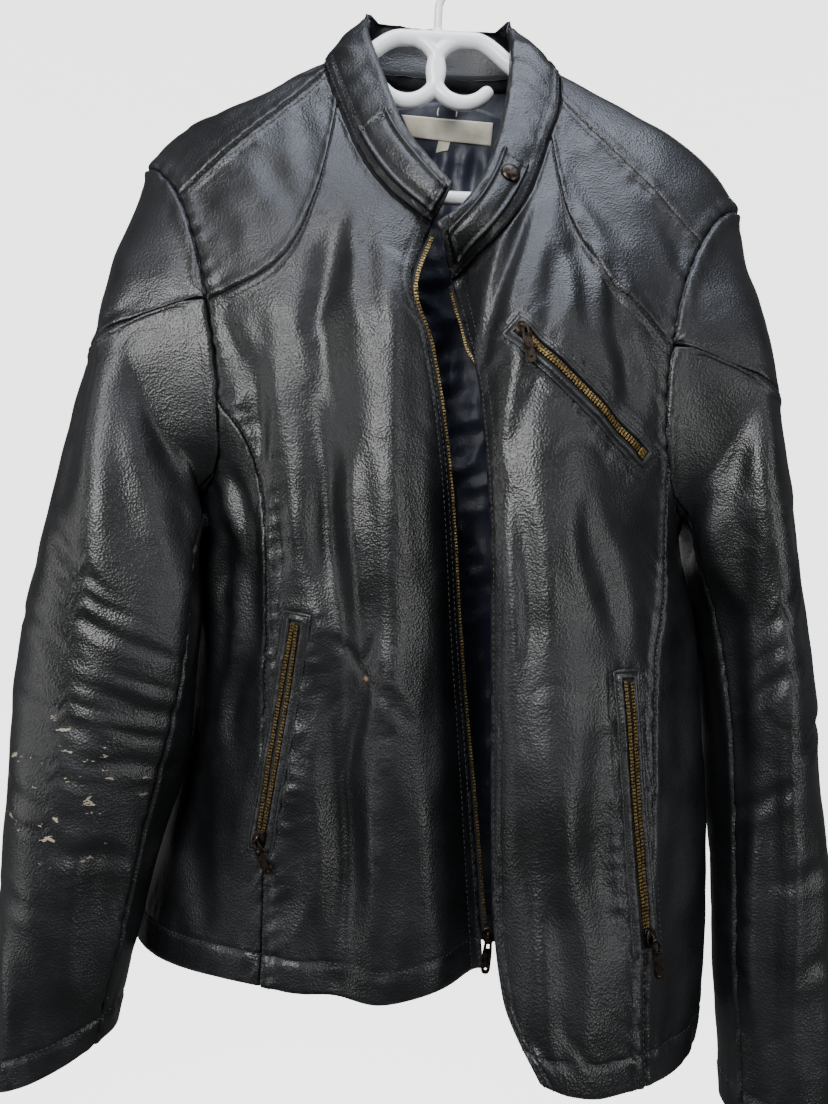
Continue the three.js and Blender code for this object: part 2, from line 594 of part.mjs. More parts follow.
function sleeve(side) {
  const angles = armholeAngles(side);
  const all = [...angles.map((angle) => angle - 360), ...angles];
  const between = (from, to) => all.filter((a) => a >= from - 1e-6 && a <= to + 1e-6);
  const surface = sleeveSkin(side);
  const capAngles = between(side.backYoke - 360, side.yoke);
  const capGrid = range(4).map((t) => capAngles.map((theta) => surface(theta, t * capSeam(side, theta))));
  add(`sleeve_cap_${side.name}`, wall(capGrid, LEATHER), leather);
  const upper = between(UNDER_SLEEVE.to - 360, UNDER_SLEEVE.from);
  const upperGrid = range(10).map((t) => upper.map((theta) => {
    const from = capSeam(side, theta);
    return surface(theta, mix(from, 1, t ** 1.15));
  }));
  add(`sleeve_upper_${side.name}`, wall(upperGrid, LEATHER), leather);
  const under = between(UNDER_SLEEVE.from, UNDER_SLEEVE.to);
  const underGrid = range(10).map((t) => under.map((theta) => surface(theta, t ** 1.15)));
  add(`sleeve_under_${side.name}`, wall(underGrid, LEATHER), leather);
}

// ---------------------------------------------------------------- collar
const COLLAR_COLUMNS = NECKLINE.length * 2 - 2;
const COLLAR_GAP = 1.4;       // between the collar's foot and the neckline, where they meet at an angle
const topX = track(neckKeys, NECKLINE.map((row) => row.topX));
const topY = track(neckKeys, NECKLINE.map((row) => row.topY));
const topDrop = track(neckKeys, NECKLINE.map((row) => row.topDrop));

function collarSkin(at, height, lift = 0) {
  const foot = (k) => {
    const place = neck(k);
    const { point } = place.back ? onBack(place.x, place.drop) : onFront(place.x, place.drop);
    return point;
  };
  const head = (k) => new THREE.Vector3(topX(k), topY(k), -topDrop(k));
  const along = foot(Math.min(NECK_END, at + 0.1)).sub(foot(Math.max(0, at - 0.1)));
  const start = foot(at);
  const rise = head(at).sub(start);
  const normal = rise.clone().cross(along).normalize();
  const length = rise.length();
  const span = COLLAR_GAP + (length - COLLAR_GAP) * height;
  const crown = 3 * Math.sin(Math.PI * height);
  const point = start.addScaledVector(rise, span / length).addScaledVector(normal, crown + lift);
  return { point, normal };
}

function collarBand(name, from, to, bottom, top, lift, thickness, columns, rows = 4) {
  const grid = range(rows).map((t) => range(columns).map((s) => (
    collarSkin(mix(from, to, s), mix(bottom, top, t), lift)
  )));
  add(name, wall(grid, thickness), leather);
}

// ---------------------------------------------------------------- things laid on the fronts
function lifted(sign, x, drop, lift) {
  const { point, normal } = onFront(x, drop, sign);
  return { point: point.clone().addScaledVector(normal, lift), normal };
}

// A strip that follows a front-view path, its outer face lifted off the panel.
function strip(name, sign, path, halfWidth, lift, thickness, material, offset = 0) {
  const grid = path.map((place, j) => {
    const a = path[Math.max(0, j - 1)];
    const b = path[Math.min(path.length - 1, j + 1)];
    const run = Math.hypot(b.x - a.x, b.drop - a.drop);
    const across = { x: (b.drop - a.drop) / run, drop: -(b.x - a.x) / run };
    return [-1, 0, 1].map((w) => {
      const reach = offset + w * halfWidth;
      return lifted(sign, place.x + across.x * reach, place.drop + across.drop * reach, lift);
    });
  });
  add(name, wall(grid, thickness), material);
}

// The zip tape behind a front's edge, made from the panel's own points.
const TAPE = { under: 4, beyond: 6.5, thickness: 0.8, gap: 0.7 };
function edgeTape(name, grid) {
  const rows = grid.slice(0, -1).map(([edge, next]) => {
    const inwards = next.point.clone().sub(edge.point).normalize();
    return [TAPE.under, -TAPE.beyond].map((reach) => ({
      point: edge.point.clone().addScaledVector(inwards, reach)
        .addScaledVector(edge.normal, -LEATHER - TAPE.gap),
      normal: edge.normal,
    }));
  });
  add(name, wall(rows, TAPE.thickness), tape);
}

// A frame of welts: a closed ring of rectangular section round a slot.
function welts(name, pocket, outerHalf, innerHalf, lift, thickness) {
  const along = { x: (pocket.x1 - pocket.x0) / pocket.length, drop: (pocket.drop1 - pocket.drop0) / pocket.length };
  const across = { x: along.drop, drop: -along.x };
  const place = (u, v) => ({
    x: pocket.x0 + along.x * u + across.x * v, drop: pocket.drop0 + along.drop * u + across.drop * v,
  });
  const end = outerHalf - innerHalf;
  const sides = 8;
  const loop = (half, inset) => {
    const run = range(sides).map((t) => mix(inset, pocket.length - inset, t));
    return [...run.map((u) => place(u, half)), ...run.reverse().map((u) => place(u, -half))];
  };
  const outerLoop = loop(outerHalf, 0);
  const innerLoop = loop(innerHalf, end);
  const count = outerLoop.length;
  const positions = [];
  const push = (loopPlaces, height) => loopPlaces.forEach((p) => {
    const { point } = lifted(pocket.sign, p.x, p.drop, height);
    positions.push(point.x, point.y, point.z);
  });
  push(outerLoop, lift);
  push(innerLoop, lift);
  push(innerLoop, lift - thickness);
  push(outerLoop, lift - thickness);
  const index = [];
  for (let ring = 0; ring < 4; ring += 1) {
    for (let k = 0; k < count; k += 1) {
      const a = ring * count + k;
      const b = ring * count + ((k + 1) % count);
      const c = ((ring + 1) % 4) * count + ((k + 1) % count);
      const d = ((ring + 1) % 4) * count + k;
      index.push(a, b, c, a, c, d);
    }
  }
  add(name, solid(positions, index), leather);
}

// A small block standing on a front at a place, its length along a front-view direction.
function placeOnFront(geometry, { sign, x, drop, lift, along }) {
  const { point, normal } = lifted(sign, x, drop, lift);
  const ahead = onFront(x + along.x, drop + along.drop, sign).point.sub(onFront(x, drop, sign).point);
  const yAxis = ahead.addScaledVector(normal, -ahead.dot(normal)).normalize();
  const xAxis = yAxis.clone().cross(normal).normalize();
  return geometry.applyMatrix4(new THREE.Matrix4().makeBasis(xAxis, yAxis, normal).setPosition(point));
}

function lozenge(width, length, height) {
  const outline = new THREE.Shape();
  outline.moveTo(-width / 2, 0);
  outline.lineTo(-width / 3, -length / 2);
  outline.lineTo(width / 3, -length / 2);
  outline.lineTo(width / 2, 0);
  outline.lineTo(width / 4, length / 2);
  outline.lineTo(-width / 4, length / 2);
  outline.closePath();
  return new THREE.ExtrudeGeometry(outline, { depth: height, bevelEnabled: false });
}

// The pull tab hangs straight down from the origin, its eye round the pin.
function pullTab() {
  const outline = new THREE.Shape();
  outline.moveTo(-PULL_WIDTH / 3, 1.5);
  outline.lineTo(PULL_WIDTH / 3, 1.5);
  outline.lineTo(PULL_WIDTH / 2, -PULL_LENGTH * 0.4);
  outline.lineTo(PULL_WIDTH / 2, 3 - PULL_LENGTH);
  outline.absarc(0, 3 - PULL_LENGTH, PULL_WIDTH / 2, 0, -Math.PI, true);
  outline.lineTo(-PULL_WIDTH / 2, -PULL_LENGTH * 0.4);
  outline.closePath();
  const hole = new THREE.Path();
  hole.absarc(0, 3.2 - PULL_LENGTH, 1.3, 0, Math.PI * 2, false);
  outline.holes.push(hole);
  const tab = new THREE.ExtrudeGeometry(outline, { depth: PULL_THICKNESS, bevelEnabled: false, curveSegments: 5 });
  return tab.rotateX(Math.PI / 2);
}

// Where each pull hangs: front-view place of the slider, how far it stands off, and its swing.
const ZIPS = [
  { name: 'front_zip', sign: -1, x: 66, drop: 764, along: { x: 0.1, drop: 1 }, lift: 1.2, tilt: 4 },
  { name: 'pocket_left_zip', sign: -1, x: -99, drop: 699, along: { x: -0.11, drop: 1 }, lift: 5.4, tilt: -28 },
  { name: 'pocket_right_zip', sign: 1, x: 164, drop: 738, along: { x: 0.09, drop: 1 }, lift: 5.4, tilt: -8 },
  { name: 'pocket_chest_zip', sign: 1, x: 66, drop: 338, along: { x: -0.76, drop: -0.65 }, lift: 5.4, tilt: -14 },
];
const SLIDER = { width: 8, length: 11, height: 3.4 };

function zipHardware(zip) {
  const block = lozenge(SLIDER.width, SLIDER.length, SLIDER.height);
  add(`${zip.name}_slider`, placeOnFront(block, zip), darkMetal);
  const { point } = lifted(zip.sign, zip.x, zip.drop, zip.lift + SLIDER.height + 2.2);
  const tab = pullTab().rotateY(zip.tilt * DEG);
  tab.translate(point.x, point.y - 0.3, point.z);
  add(`${zip.name}_pull`, tab, darkMetal);
}

const POCKETS = [
  { name: 'pocket_left', sign: -1, x0: -80, drop0: 536, x1: -101, drop1: 711 },
  { name: 'pocket_right', sign: 1, x0: 146, drop0: 562, x1: 165, drop1: 751 },
  { name: 'pocket_chest', sign: 1, x0: 58, drop0: 331, x1: 162, drop1: 421 },
].map((pocket) => ({ ...pocket, length: Math.hypot(pocket.x1 - pocket.x0, pocket.drop1 - pocket.drop0) }));
const WELT = { outer: 10.5, inner: 3.8, lift: 5, thickness: 1.6 };

function pocketPieces(pocket) {
  welts(`${pocket.name}_welts`, pocket, WELT.outer, WELT.inner, WELT.lift, WELT.thickness);
  const margin = (WELT.outer - WELT.inner + 1) / pocket.length;
  const path = range(8).map((t) => ({
    x: mix(pocket.x0, pocket.x1, mix(margin, 1 - margin, t)),
    drop: mix(pocket.drop0, pocket.drop1, mix(margin, 1 - margin, t)),
  }));
  strip(`${pocket.name}_tape`, pocket.sign, path, WELT.inner - 0.5, 3, 0.7, tape);
}

// ---------------------------------------------------------------- inside: lining, label, loop
function liningSkin(psi, drop, inset) {
  const { point, normal } = onBackTurn(psi, drop);
  return { point: point.clone().addScaledVector(normal, -inset), normal };
}

function lining() {
  const reach = 58;
  const top = (psi) => 126 + 74 * (psi / reach) ** 2;
  const grid = range(7).map((t) => range(8).map((s) => {
    const psi = mix(-reach, reach, s);
    return liningSkin(psi, mix(top(psi), 780, t), LINING_INSET);
  }));
  add('back_lining', wall(grid, LINING), satin);
}

function patchOnLining(name, x0, x1, drop0, drop1, inset, thickness, material) {
  const grid = range(2).map((t) => range(4).map((s) => {
    const { point, normal } = onBack(mix(x0, x1, s), mix(drop0, drop1, t));
    return { point: point.clone().addScaledVector(normal, -inset), normal };
  }));
  add(name, wall(grid, thickness), material);
}

// ---------------------------------------------------------------- hanger
function tube(points, radius, segments, sides = 4) {
  const outline = new THREE.Shape();
  outline.absarc(0, 0, radius, 0, Math.PI * 2, false);
  const path = new THREE.CatmullRomCurve3(points.map((p) => new THREE.Vector3(...p)), false, 'centripetal');
  return new THREE.ExtrudeGeometry(outline, {
    steps: segments, extrudePath: path, curveSegments: sides, bevelEnabled: false,
  });
}

function toManifold(geometry) {
  const source = geometry.index ? geometry.toNonIndexed() : geometry;
  const place = source.getAttribute('position');
  const lookup = new Map();
  const positions = [];
  const index = [];
  for (let k = 0; k < place.count; k += 1) {
    const xyz = [place.getX(k), place.getY(k), place.getZ(k)];
    const key = xyz.map((value) => Math.round(value * 1e4)).join(' ');
    if (!lookup.has(key)) {
      lookup.set(key, positions.length / 3);
      positions.push(...xyz);
    }
    index.push(lookup.get(key));
  }
  const kept = [];
  for (let k = 0; k < index.length; k += 3) {
    const [a, b, c] = index.slice(k, k + 3);
    if (a !== b && b !== c && c !== a) kept.push(a, b, c);
  }
  return new wasm.Manifold(new wasm.Mesh({
    numProp: 3, vertProperties: new Float32Array(positions), triVerts: new Uint32Array(kept),
  }));
}

function fromManifold(shape) {
  const mesh = shape.getMesh();
  return solid(Array.from(mesh.vertProperties), Array.from(mesh.triVerts));
}

const ARM = [[0, 84], [28, 84], [58, 102], [92, 133], [142, 157], [186, 183], [200, 198]];
const BAR_DROP = 209;
const arc = (cx, cz, radius, from, to, count) => range(count).map((t) => {
  const angle = mix(from, to, t) * DEG;
  return [cx + radius * Math.cos(angle), 0, cz + radius * Math.sin(angle)];
});

function hanger() {
  const parts = [];
  [-1, 1].forEach((sign) => {
    const arm = ARM.map(([x, drop]) => [sign * x, 0, -drop]);
    arm.push([sign * 190, 0, -BAR_DROP]);
    parts.push(tube(arm, TUBE_RADIUS, 14));
    const curl = arc(sign * 22.5, -109, CURL_RADIUS, sign > 0 ? 110 : 70, sign > 0 ? 325 : -145, 8);
    parts.push(tube(curl, TUBE_RADIUS, 12));
  });
  parts.push(tube([[-192, 0, -BAR_DROP], [0, 0, -BAR_DROP], [192, 0, -BAR_DROP]], TUBE_RADIUS - 1, 4));
  const hookCentre = -HOOK_INNER;
  const radius = HOOK_INNER + HOOK_RADIUS;
  const hook = [[0, 0, -84], [0, 0, -60], [3, 0, -50], ...arc(0, hookCentre, radius, -50, 200, 9)];
  parts.push(tube(hook, HOOK_RADIUS, 22));
  const joinedShape = parts.map(toManifold).reduce((sum, part) => sum.add(part));
  add('hanger', fromManifold(joinedShape), plastic);
}

// ---------------------------------------------------------------- assembly
seams.forEach((seam) => {
  front(seam);
  frontYoke(seam);
  sidePanel(seam);
  sleeve(seam.side);
});
backYoke();
backBody();
collarBand('collar_outer', 0, NECK_END, 0, 1, 0, 1.4, COLLAR_COLUMNS);
collarBand('collar_facing', 0, NECK_END, 0, 1, -1.9, 1.2, COLLAR_COLUMNS);
collarBand('collar_tab', 0.25, 2.25, 0.16, 0.86, 3.6, 1.4, 4, 2);
collarBand('collar_channel', 11.75, 13.75, 0.16, 0.86, 3.8, 1.4, 4, 2);

POCKETS.forEach(pocketPieces);
ZIPS.forEach(zipHardware);

const SNAP = { at: 12.1, height: 0.5, radius: 6.8, thickness: 2.2 };
function snap() {
  const { point, normal } = collarSkin(SNAP.at, SNAP.height, 4.6);
  const disc = new THREE.CylinderGeometry(SNAP.radius * 0.8, SNAP.radius, SNAP.thickness, 20);
  const turn = new THREE.Quaternion().setFromUnitVectors(new THREE.Vector3(0, 1, 0), normal);
  disc.applyQuaternion(turn);
  const centre = point.addScaledVector(normal, SNAP.thickness / 2);
  disc.translate(centre.x, centre.y, centre.z);
  add('collar_snap', disc, darkMetal);
}
snap();
lining();
patchOnLining('neck_label', -26, 50, 123, 142, LINING_INSET + LINING + 3, 0.8, labelCloth);
patchOnLining('size_tag', 2, 14, 143.5, 152, LINING_INSET + LINING + 3, 0.6, labelCloth);
hanger();

export default jacket;
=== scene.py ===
# A black leather jacket with an open front, hanging on a white moulded coat hanger.
# Lengths in the tables are millimetres in the CAD frame; meshes are metres.
import math

import bmesh
import bpy
import numpy as np
from mathutils import Matrix, Vector


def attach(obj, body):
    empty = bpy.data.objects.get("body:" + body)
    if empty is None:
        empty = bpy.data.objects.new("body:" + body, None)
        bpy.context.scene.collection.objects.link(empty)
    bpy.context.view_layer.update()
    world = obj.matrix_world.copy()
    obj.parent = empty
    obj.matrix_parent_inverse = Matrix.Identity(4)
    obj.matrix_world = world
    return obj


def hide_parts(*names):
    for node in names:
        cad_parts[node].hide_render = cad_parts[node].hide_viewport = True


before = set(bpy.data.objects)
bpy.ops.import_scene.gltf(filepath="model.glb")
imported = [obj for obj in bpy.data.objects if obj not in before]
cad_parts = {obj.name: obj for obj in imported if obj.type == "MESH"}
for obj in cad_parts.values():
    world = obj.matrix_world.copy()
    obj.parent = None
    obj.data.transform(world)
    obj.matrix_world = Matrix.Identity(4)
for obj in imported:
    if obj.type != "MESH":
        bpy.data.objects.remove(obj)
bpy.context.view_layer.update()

MM = 0.001
GARMENT = "garment"

# ---------------------------------------------------------------- driving sizes
LEATHER = 1.6                                   # wall of a panel
ROUNDNESS = 2.2                                 # exponent of the body's sections
BACK_CENTRE = 10.0                              # where the back's two quarters meet, along x
RIDGE_DROP = 260.0                              # drop below the shoulder's ridge at one unit over it
LINING_INSET = 10.0                             # from the back's skin in to the lining
GRID, BACK_GRID, SLEEVE_GRID = 2.8, 4.2, 3.6    # spacing of the cloth's grids
EDGE_STEPS = [0.0, 0.7, 1.5, 2.4, 3.6, 5.2, 6.8, 8.0, 9.2, 11.4]   # grid lines beside a rim
BAND_STITCH, ZIP_STITCH, ROLL_STITCH, HEM_STITCH = 7.4, 9.2, 4.6, 22.0   # rows of stitches from an edge
HEM_STEPS = sorted(set(EDGE_STEPS + [14, 17, 20, 21.2, 22.2, 23.4, 25]))
ARMHOLE_SHARE = 2 / 13                          # of a front's outer edge, from its top

BODY_KEYS = ("drop", "left", "right", "side_y", "opening", "front_left", "front_right", "back")
BODY_SECTIONS = [
    (60, -2, 3, 0, 0, 2, 2, 30),
    (90, -50, 58, 0, 0, 6, 7, 42),
    (107, -88, 97, 0, 1, 11, 13, 48),
    (136, -142, 154, 0, 2, 20, 25, 56),
    (164, -194, 202, 0, 3, 31, 38, 62),
    (200, -223, 234, 0, 4, 47, 54, 68),
    (218, -225, 243, 0, 5, 55, 62, 71),
    (250, -225, 245, 0, 6, 68, 76, 74),
    (312, -219, 238, 2, 14, 88, 102, 76),
    (380, -200, 222, 8, 24, 104, 122, 72),
    (457, -172, 207, 16, 34, 118, 141, 62),
    (540, -172, 225, 28, 42, 127, 158, 52),
    (620, -178, 235, 32, 50, 128, 167, 48),
    (720, -191, 240, 26, 58, 120, 170, 52),
    (800, -206, 236, 14, 64, 109, 168, 60),
    (850, -208, 230, 8, 66, 106, 168, 62),
]

# The neckline and the collar's top edge: x, drop, top x, top y, top drop.
NECKLINE = [
    (2, 254, 16, -74, 226), (-28, 230, -2, -66, 204), (-53, 196, -22, -50, 174),
    (-74, 149, -41, -28, 124), (-86, 118, -55, -8, 82), (-89, 107, -57, 6, 66),
    (-72, 102, -46, 32, 57), (2, 97, 1, 49, 53), (78, 101, 46, 34, 58),
    (98, 107, 57, 6, 68), (97, 138, 58, -14, 100), (88, 174, 54, -36, 146),
    (72, 226, 42, -63, 203), (48, 266, 27, -84, 238), (19, 292, 7, -92, 262),
]
NECK_END = len(NECKLINE) - 1

# A sleeve's rings: share of its length, outer x and drop, inner x and drop, front y, back y, lap on
# the body.
LEFT = dict(
    name="left", sign=-1, top=200, bottom=457, reach=44,
    shoulder=40, yoke=84, princess=117, back_side=244, back_yoke=277,
    neck_front=0, neck_yoke=3, neck_shoulder=4,
    edge=[(2, 254), (-10, 300), (4, 341), (23, 441), (34, 543), (50, 670), (64, 790)],
    yoke_seam=[(-74, 149), (-79, 207), (-88, 248), (-100, 276), (-116, 293), (-137, 305)],
    princess_seam=[(-124, 416), (-111, 460), (-104, 506), (-103, 611), (-98, 715), (-96, 803)],
    hem=[(64, 790), (35, 793), (-20, 805), (-96, 800)],
    side_hem=800, cap_drop=348, neck_share=0.45,
    sleeve=[
        (0.1, -240, 270, -178, 468, -70, 64, 22), (0.25, -255, 362, -169, 488, -84, 52, 22),
        (0.42, -275, 480, -158, 545, -94, 20, 12), (0.6, -289, 600, -159, 630, -98, 8, 0),
        (0.8, -291, 745, -183, 738, -98, 2, 0), (1, -289, 889, -203, 848, -96, -16, 0),
    ],
)
RIGHT = dict(
    name="right", sign=1, top=214, bottom=460, reach=44,
    shoulder=46, yoke=90, princess=132, back_side=244, back_yoke=277,
    neck_front=14, neck_yoke=11, neck_shoulder=10,
    edge=[(19, 292), (28, 325), (40, 372), (51, 480), (57, 600), (63, 720), (72, 782), (95, 822)],
    yoke_seam=[(88, 174), (97, 230), (113, 266), (135, 297), (156, 315)],
    princess_seam=[(179, 450), (177, 509), (170, 565), (171, 639), (165, 765), (168, 834)],
    hem=[(95, 822), (116, 830), (140, 834), (168, 834)],
    side_hem=834, cap_drop=366, neck_share=0.4,
    sleeve=[
        (0.1, 254, 278, 214, 472, -74, 66, 14), (0.25, 273, 362, 215, 494, -80, 66, 10),
        (0.42, 295, 480, 226, 552, -76, 66, 0), (0.6, 312, 610, 238, 640, -76, 58, 0),
        (0.8, 328, 756, 243, 770, -78, 30, 0), (1, 336, 906, 250, 893, -78, 4, 0),
    ],
)
BACK_SIDE_ANGLE = 126.0
UNDER_FROM, UNDER_TO = 148.0, 226.0
CAP_END = 0.002

# The largest folds of the fronts, as front-view lines: x, drop, x, drop, half width, depth.
FOLDS = [
    (-74, 300, -65, 490, 17, -8), (-30, 330, -26, 560, 26, 6), (-52, 600, -42, 790, 20, -11),
    (-12, 590, 4, 770, 22, 5), (-128, 450, -120, 620, 14, -4), (20, 300, 62, 800, 20, -34),
    (95, 330, 112, 640, 34, 6),
]

POCKETS = [
    dict(name="pocket_left", sign=-1, start=(-80, 536), end=(-101, 711)),
    dict(name="pocket_right", sign=1, start=(146, 562), end=(165, 751)),
    dict(name="pocket_chest", sign=1, start=(58, 331), end=(162, 421)),
]
WELT_OUTER, WELT_INNER, TAPE_HALF = 10.5, 3.8, 5.3

# Creases: start, end, half width, depth out of the surface, sideways bow. Front view first.
FRONT_CREASES = [
    (-29, 579, -44, 652, 5, -3.0, 2), (-29, 579, -58, 552, 4, -1.7, -3),
    (-29, 579, 6, 612, 6, -1.3, 3), (-80, 378, -46, 586, 11, -6, 4), (-45, 584, -32, 782, 12, -7, -3),
    (-20, 430, -12, 760, 14, 4, 3), (72, 234, 40, 364, 5, -5.5, -3), (85, 248, 52, 430, 9, 3.4, -4),
    (98, 226, 114, 332, 9, -3.4, 3), (128, 276, 149, 384, 8, -3, -3), (52, 380, 62, 620, 10, 3, 2),
    (-108, 400, -104, 560, 6, 2.4, 2), (-30, 572, -24, 548, 4, -1.8, 0),
    (-88, 320, -70, 470, 10, 2.6, 5), (-142, 330, -112, 430, 9, -3.4, 6),
    (-118, 330, -92, 520, 9, -2.6, -5), (-66, 650, -84, 770, 10, -3, 4),
    (-8, 300, 12, 520, 9, -2.6, -4), (-14, 640, -6, 765, 8, -2, 3), (18, 560, 36, 760, 8, -2.2, -3),
    (-150, 480, -128, 640, 9, -3, 4), (-160, 640, -140, 780, 11, -3, -4),
    (-62, 240, -84, 345, 9, -2.2, 4), (-46, 250, -30, 345, 8, -1.8, -3),
    (-132, 196, -96, 250, 10, -1.8, 4), (-170, 236, -138, 284, 9, -1.6, 3),
    (-104, 150, -88, 230, 9, -1.4, 2), (62, 444, 78, 560, 9, -2.4, 4),
    (112, 446, 146, 545, 9, -2.4, -5), (80, 610, 74, 770, 13, -3, 5),
    (124, 590, 140, 745, 11, -2.4, -4), (104, 262, 82, 335, 9, -2.2, -3),
    (70, 282, 58, 350, 8, -1.8, 3), (150, 330, 128, 420, 10, -2.4, 4),
    (96, 690, 112, 815, 10, -2.2, 3), (188, 470, 196, 640, 10, -2.6, 4),
    (196, 650, 190, 800, 11, -2.6, -4), (104, 190, 148, 262, 12, -1.8, -5),
    (172, 236, 196, 300, 9, -1.6, 3), (60, 480, 66, 700, 10, 2.2, 2), (-46, 420, -34, 560, 9, 2, -3),
    (140, 470, 152, 560, 10, 1.8, 3), (-146, 440, -124, 500, 7, 5, 2), (-124, 490, -138, 620, 8, 5, 3),
    (-140, 480, -146, 540, 6, -5, 0),
]
BACK_CREASES = [
    (-104, 340, -70, 570, 17, -5, 6), (92, 344, 70, 610, 18, -5, -6), (12, 390, 18, 770, 22, -4, 5),
    (-62, 560, -96, 790, 14, -4, 5), (112, 590, 130, 810, 14, -4, -5),
    (-150, 420, -44, 474, 10, -3, 6), (156, 430, 62, 486, 10, -3, -6),
    (-36, 470, -30, 690, 15, 3.4, 4), (52, 470, 60, 720, 15, 3.4, -4),
    (-132, 560, -128, 760, 12, -3, 3), (156, 560, 162, 790, 12, -3, -3),
    (-128, 220, -66, 306, 12, -2.6, 5), (146, 226, 78, 308, 12, -2.6, -5),
    (-24, 150, -20, 300, 14, -2.2, 3), (40, 150, 36, 300, 14, -2.2, -3), (-40, 700, 40, 716, 9, -2, 4),
    (-90, 650, -20, 640, 8, -1.8, -4), (60, 660, 130, 652, 8, -1.8, 4),
    (-172, 250, -150, 330, 11, -2.4, 3), (190, 256, 168, 334, 11, -2.4, -3),
    (-6, 330, 0, 420, 12, 2, 2),
]
# Round and along a sleeve: angle, share of its length, angle, share, half width, depth, bow.
SLEEVE_CREASES = {
    "left": [
        (24, 0.41, 104, 0.45, 7, -1.6, 4), (58, 0.475, 150, 0.50, 6, -1.5, -4),
        (8, 0.52, 92, 0.54, 6, -1.4, 4), (82, 0.56, 166, 0.575, 7, -1.8, -3),
        (28, 0.60, 118, 0.625, 6, -1.4, 4), (96, 0.645, 172, 0.65, 6, -1.6, 3),
        (22, 0.685, 98, 0.71, 6, -1.4, -4), (70, 0.745, 150, 0.765, 7, -1.5, 4),
        (10, 0.80, 84, 0.815, 6, -1.2, 3), (112, 0.10, 134, 0.38, 13, -5, 5),
        (66, 0.18, 92, 0.46, 17, 3.6, -5), (148, 0.28, 150, 0.52, 9, -4, 4),
        (30, 0.16, 42, 0.40, 13, -2.6, 4), (40, 0.82, 62, 0.97, 12, 2.4, 3),
        (120, 0.70, 132, 0.92, 12, -3, -4), (84, 0.52, 98, 0.80, 16, 2.8, 4),
        (200, 0.40, 300, 0.44, 8, -2.6, 5), (230, 0.50, 330, 0.52, 7, -2.4, -5),
        (196, 0.58, 290, 0.60, 7, -2.6, 4), (250, 0.66, 340, 0.69, 7, -2.2, -4),
        (205, 0.74, 280, 0.76, 7, -2, 4), (285, 0.10, 300, 0.40, 15, -3.6, -5),
        (240, 0.12, 256, 0.42, 13, -3.4, 5), (310, 0.60, 320, 0.94, 14, 2.6, 4),
        (44, 0.445, 120, 0.462, 4, -1.4, -3), (66, 0.585, 130, 0.59, 4, -1.4, 2),
        (50, 0.655, 112, 0.67, 4, -1.3, -2), (90, 0.605, 160, 0.612, 4, -1.4, 2),
        (38, 0.725, 96, 0.738, 4, -1.2, 2), (100, 0.535, 156, 0.54, 4, -1.4, -2),
    ],
    "right": [
        (30, 0.40, 110, 0.44, 7, -2.2, -4), (62, 0.50, 146, 0.53, 7, -2.2, 4),
        (14, 0.57, 90, 0.60, 6, -1.8, -3), (78, 0.63, 156, 0.66, 6, -2, 4),
        (30, 0.71, 112, 0.73, 6, -1.8, -3), (112, 0.12, 128, 0.42, 12, -4, -5),
        (70, 0.20, 84, 0.60, 17, 3.4, 5), (140, 0.30, 142, 0.62, 9, -3.6, -4),
        (28, 0.14, 36, 0.44, 13, -2.6, -4), (104, 0.56, 112, 0.94, 11, -3.2, 4),
        (52, 0.66, 60, 0.96, 14, 2.4, -3), (128, 0.66, 130, 0.90, 8, 2.4, 3),
        (200, 0.42, 300, 0.46, 8, -2.6, -5), (232, 0.52, 330, 0.54, 7, -2.4, 5),
        (198, 0.62, 290, 0.64, 7, -2.4, -4), (250, 0.72, 340, 0.74, 7, -2, 4),
        (284, 0.10, 300, 0.42, 15, -3.6, 5), (240, 0.14, 254, 0.44, 13, -3.2, -5),
        (312, 0.62, 318, 0.94, 14, 2.4, -4), (20, 0.81, 96, 0.825, 6, -1.6, 3),
        (84, 0.47, 140, 0.475, 4, -1.2, 2),
    ],
}


# ---------------------------------------------------------------- smooth tables
def mix(a, b, t):
    return a + (b - a) * t


def smooth(value, low, high):
    t = np.clip((value - low) / (high - low), 0, 1)
    return t * t * (3 - 2 * t)


def track(keys, values):
    """Cubic interpolation with limited slopes. values may hold one column for each place asked."""
    keys = np.asarray(keys, float)
    values = np.asarray(values, float)
    span = np.diff(keys)
    chord = np.diff(values, axis=0) / span.reshape((-1,) + (1,) * (values.ndim - 1))
    slope = np.empty_like(values)
    slope[0], slope[-1] = chord[0], chord[-1]
    before, after = chord[:-1], chord[1:]
    total = np.where(before + after == 0, 1, before + after)
    slope[1:-1] = np.where(before * after > 0, 2 * before * after / total, 0)

    def at(key):
        key = np.asarray(key, float)
        i = np.clip(np.searchsorted(keys, key, side="left") - 1, 0, len(keys) - 2)
        t = np.clip((key - keys[i]) / span[i], 0, 1)
        pick = (lambda a, k: a[k]) if values.ndim == 1 else (lambda a, k: a[k, np.arange(a.shape[1])])
        start, end = pick(values, i), pick(values, i + 1)
        leaving, arriving = pick(slope, i), pick(slope, i + 1)
        hermite = t * (1 - t) ** 2 * span[i] * leaving + t * t * (t - 1) * span[i] * arriving
        return start + (end - start) * t * t * (3 - 2 * t) + hermite

    return at


BODY = {name: track([row[0] for row in BODY_SECTIONS], [row[k] for row in BODY_SECTIONS])
        for k, name in enumerate(BODY_KEYS) if k}


# ---------------------------------------------------------------- the body's surface
def quadrant(sign, front, drop):
    """The quarter's centre, reach along x, depth along y, and where its side lies."""
    centre = np.where(front, BODY["opening"](drop), BACK_CENTRE)
    reach = np.where(sign < 0, centre - BODY["left"](drop), BODY["right"](drop) - centre)
    depth = np.where(sign < 0, BODY["front_left"](drop), BODY["front_right"](drop))
    return centre, reach, np.where(front, depth, BODY["back"](drop)), BODY["side_y"](drop)


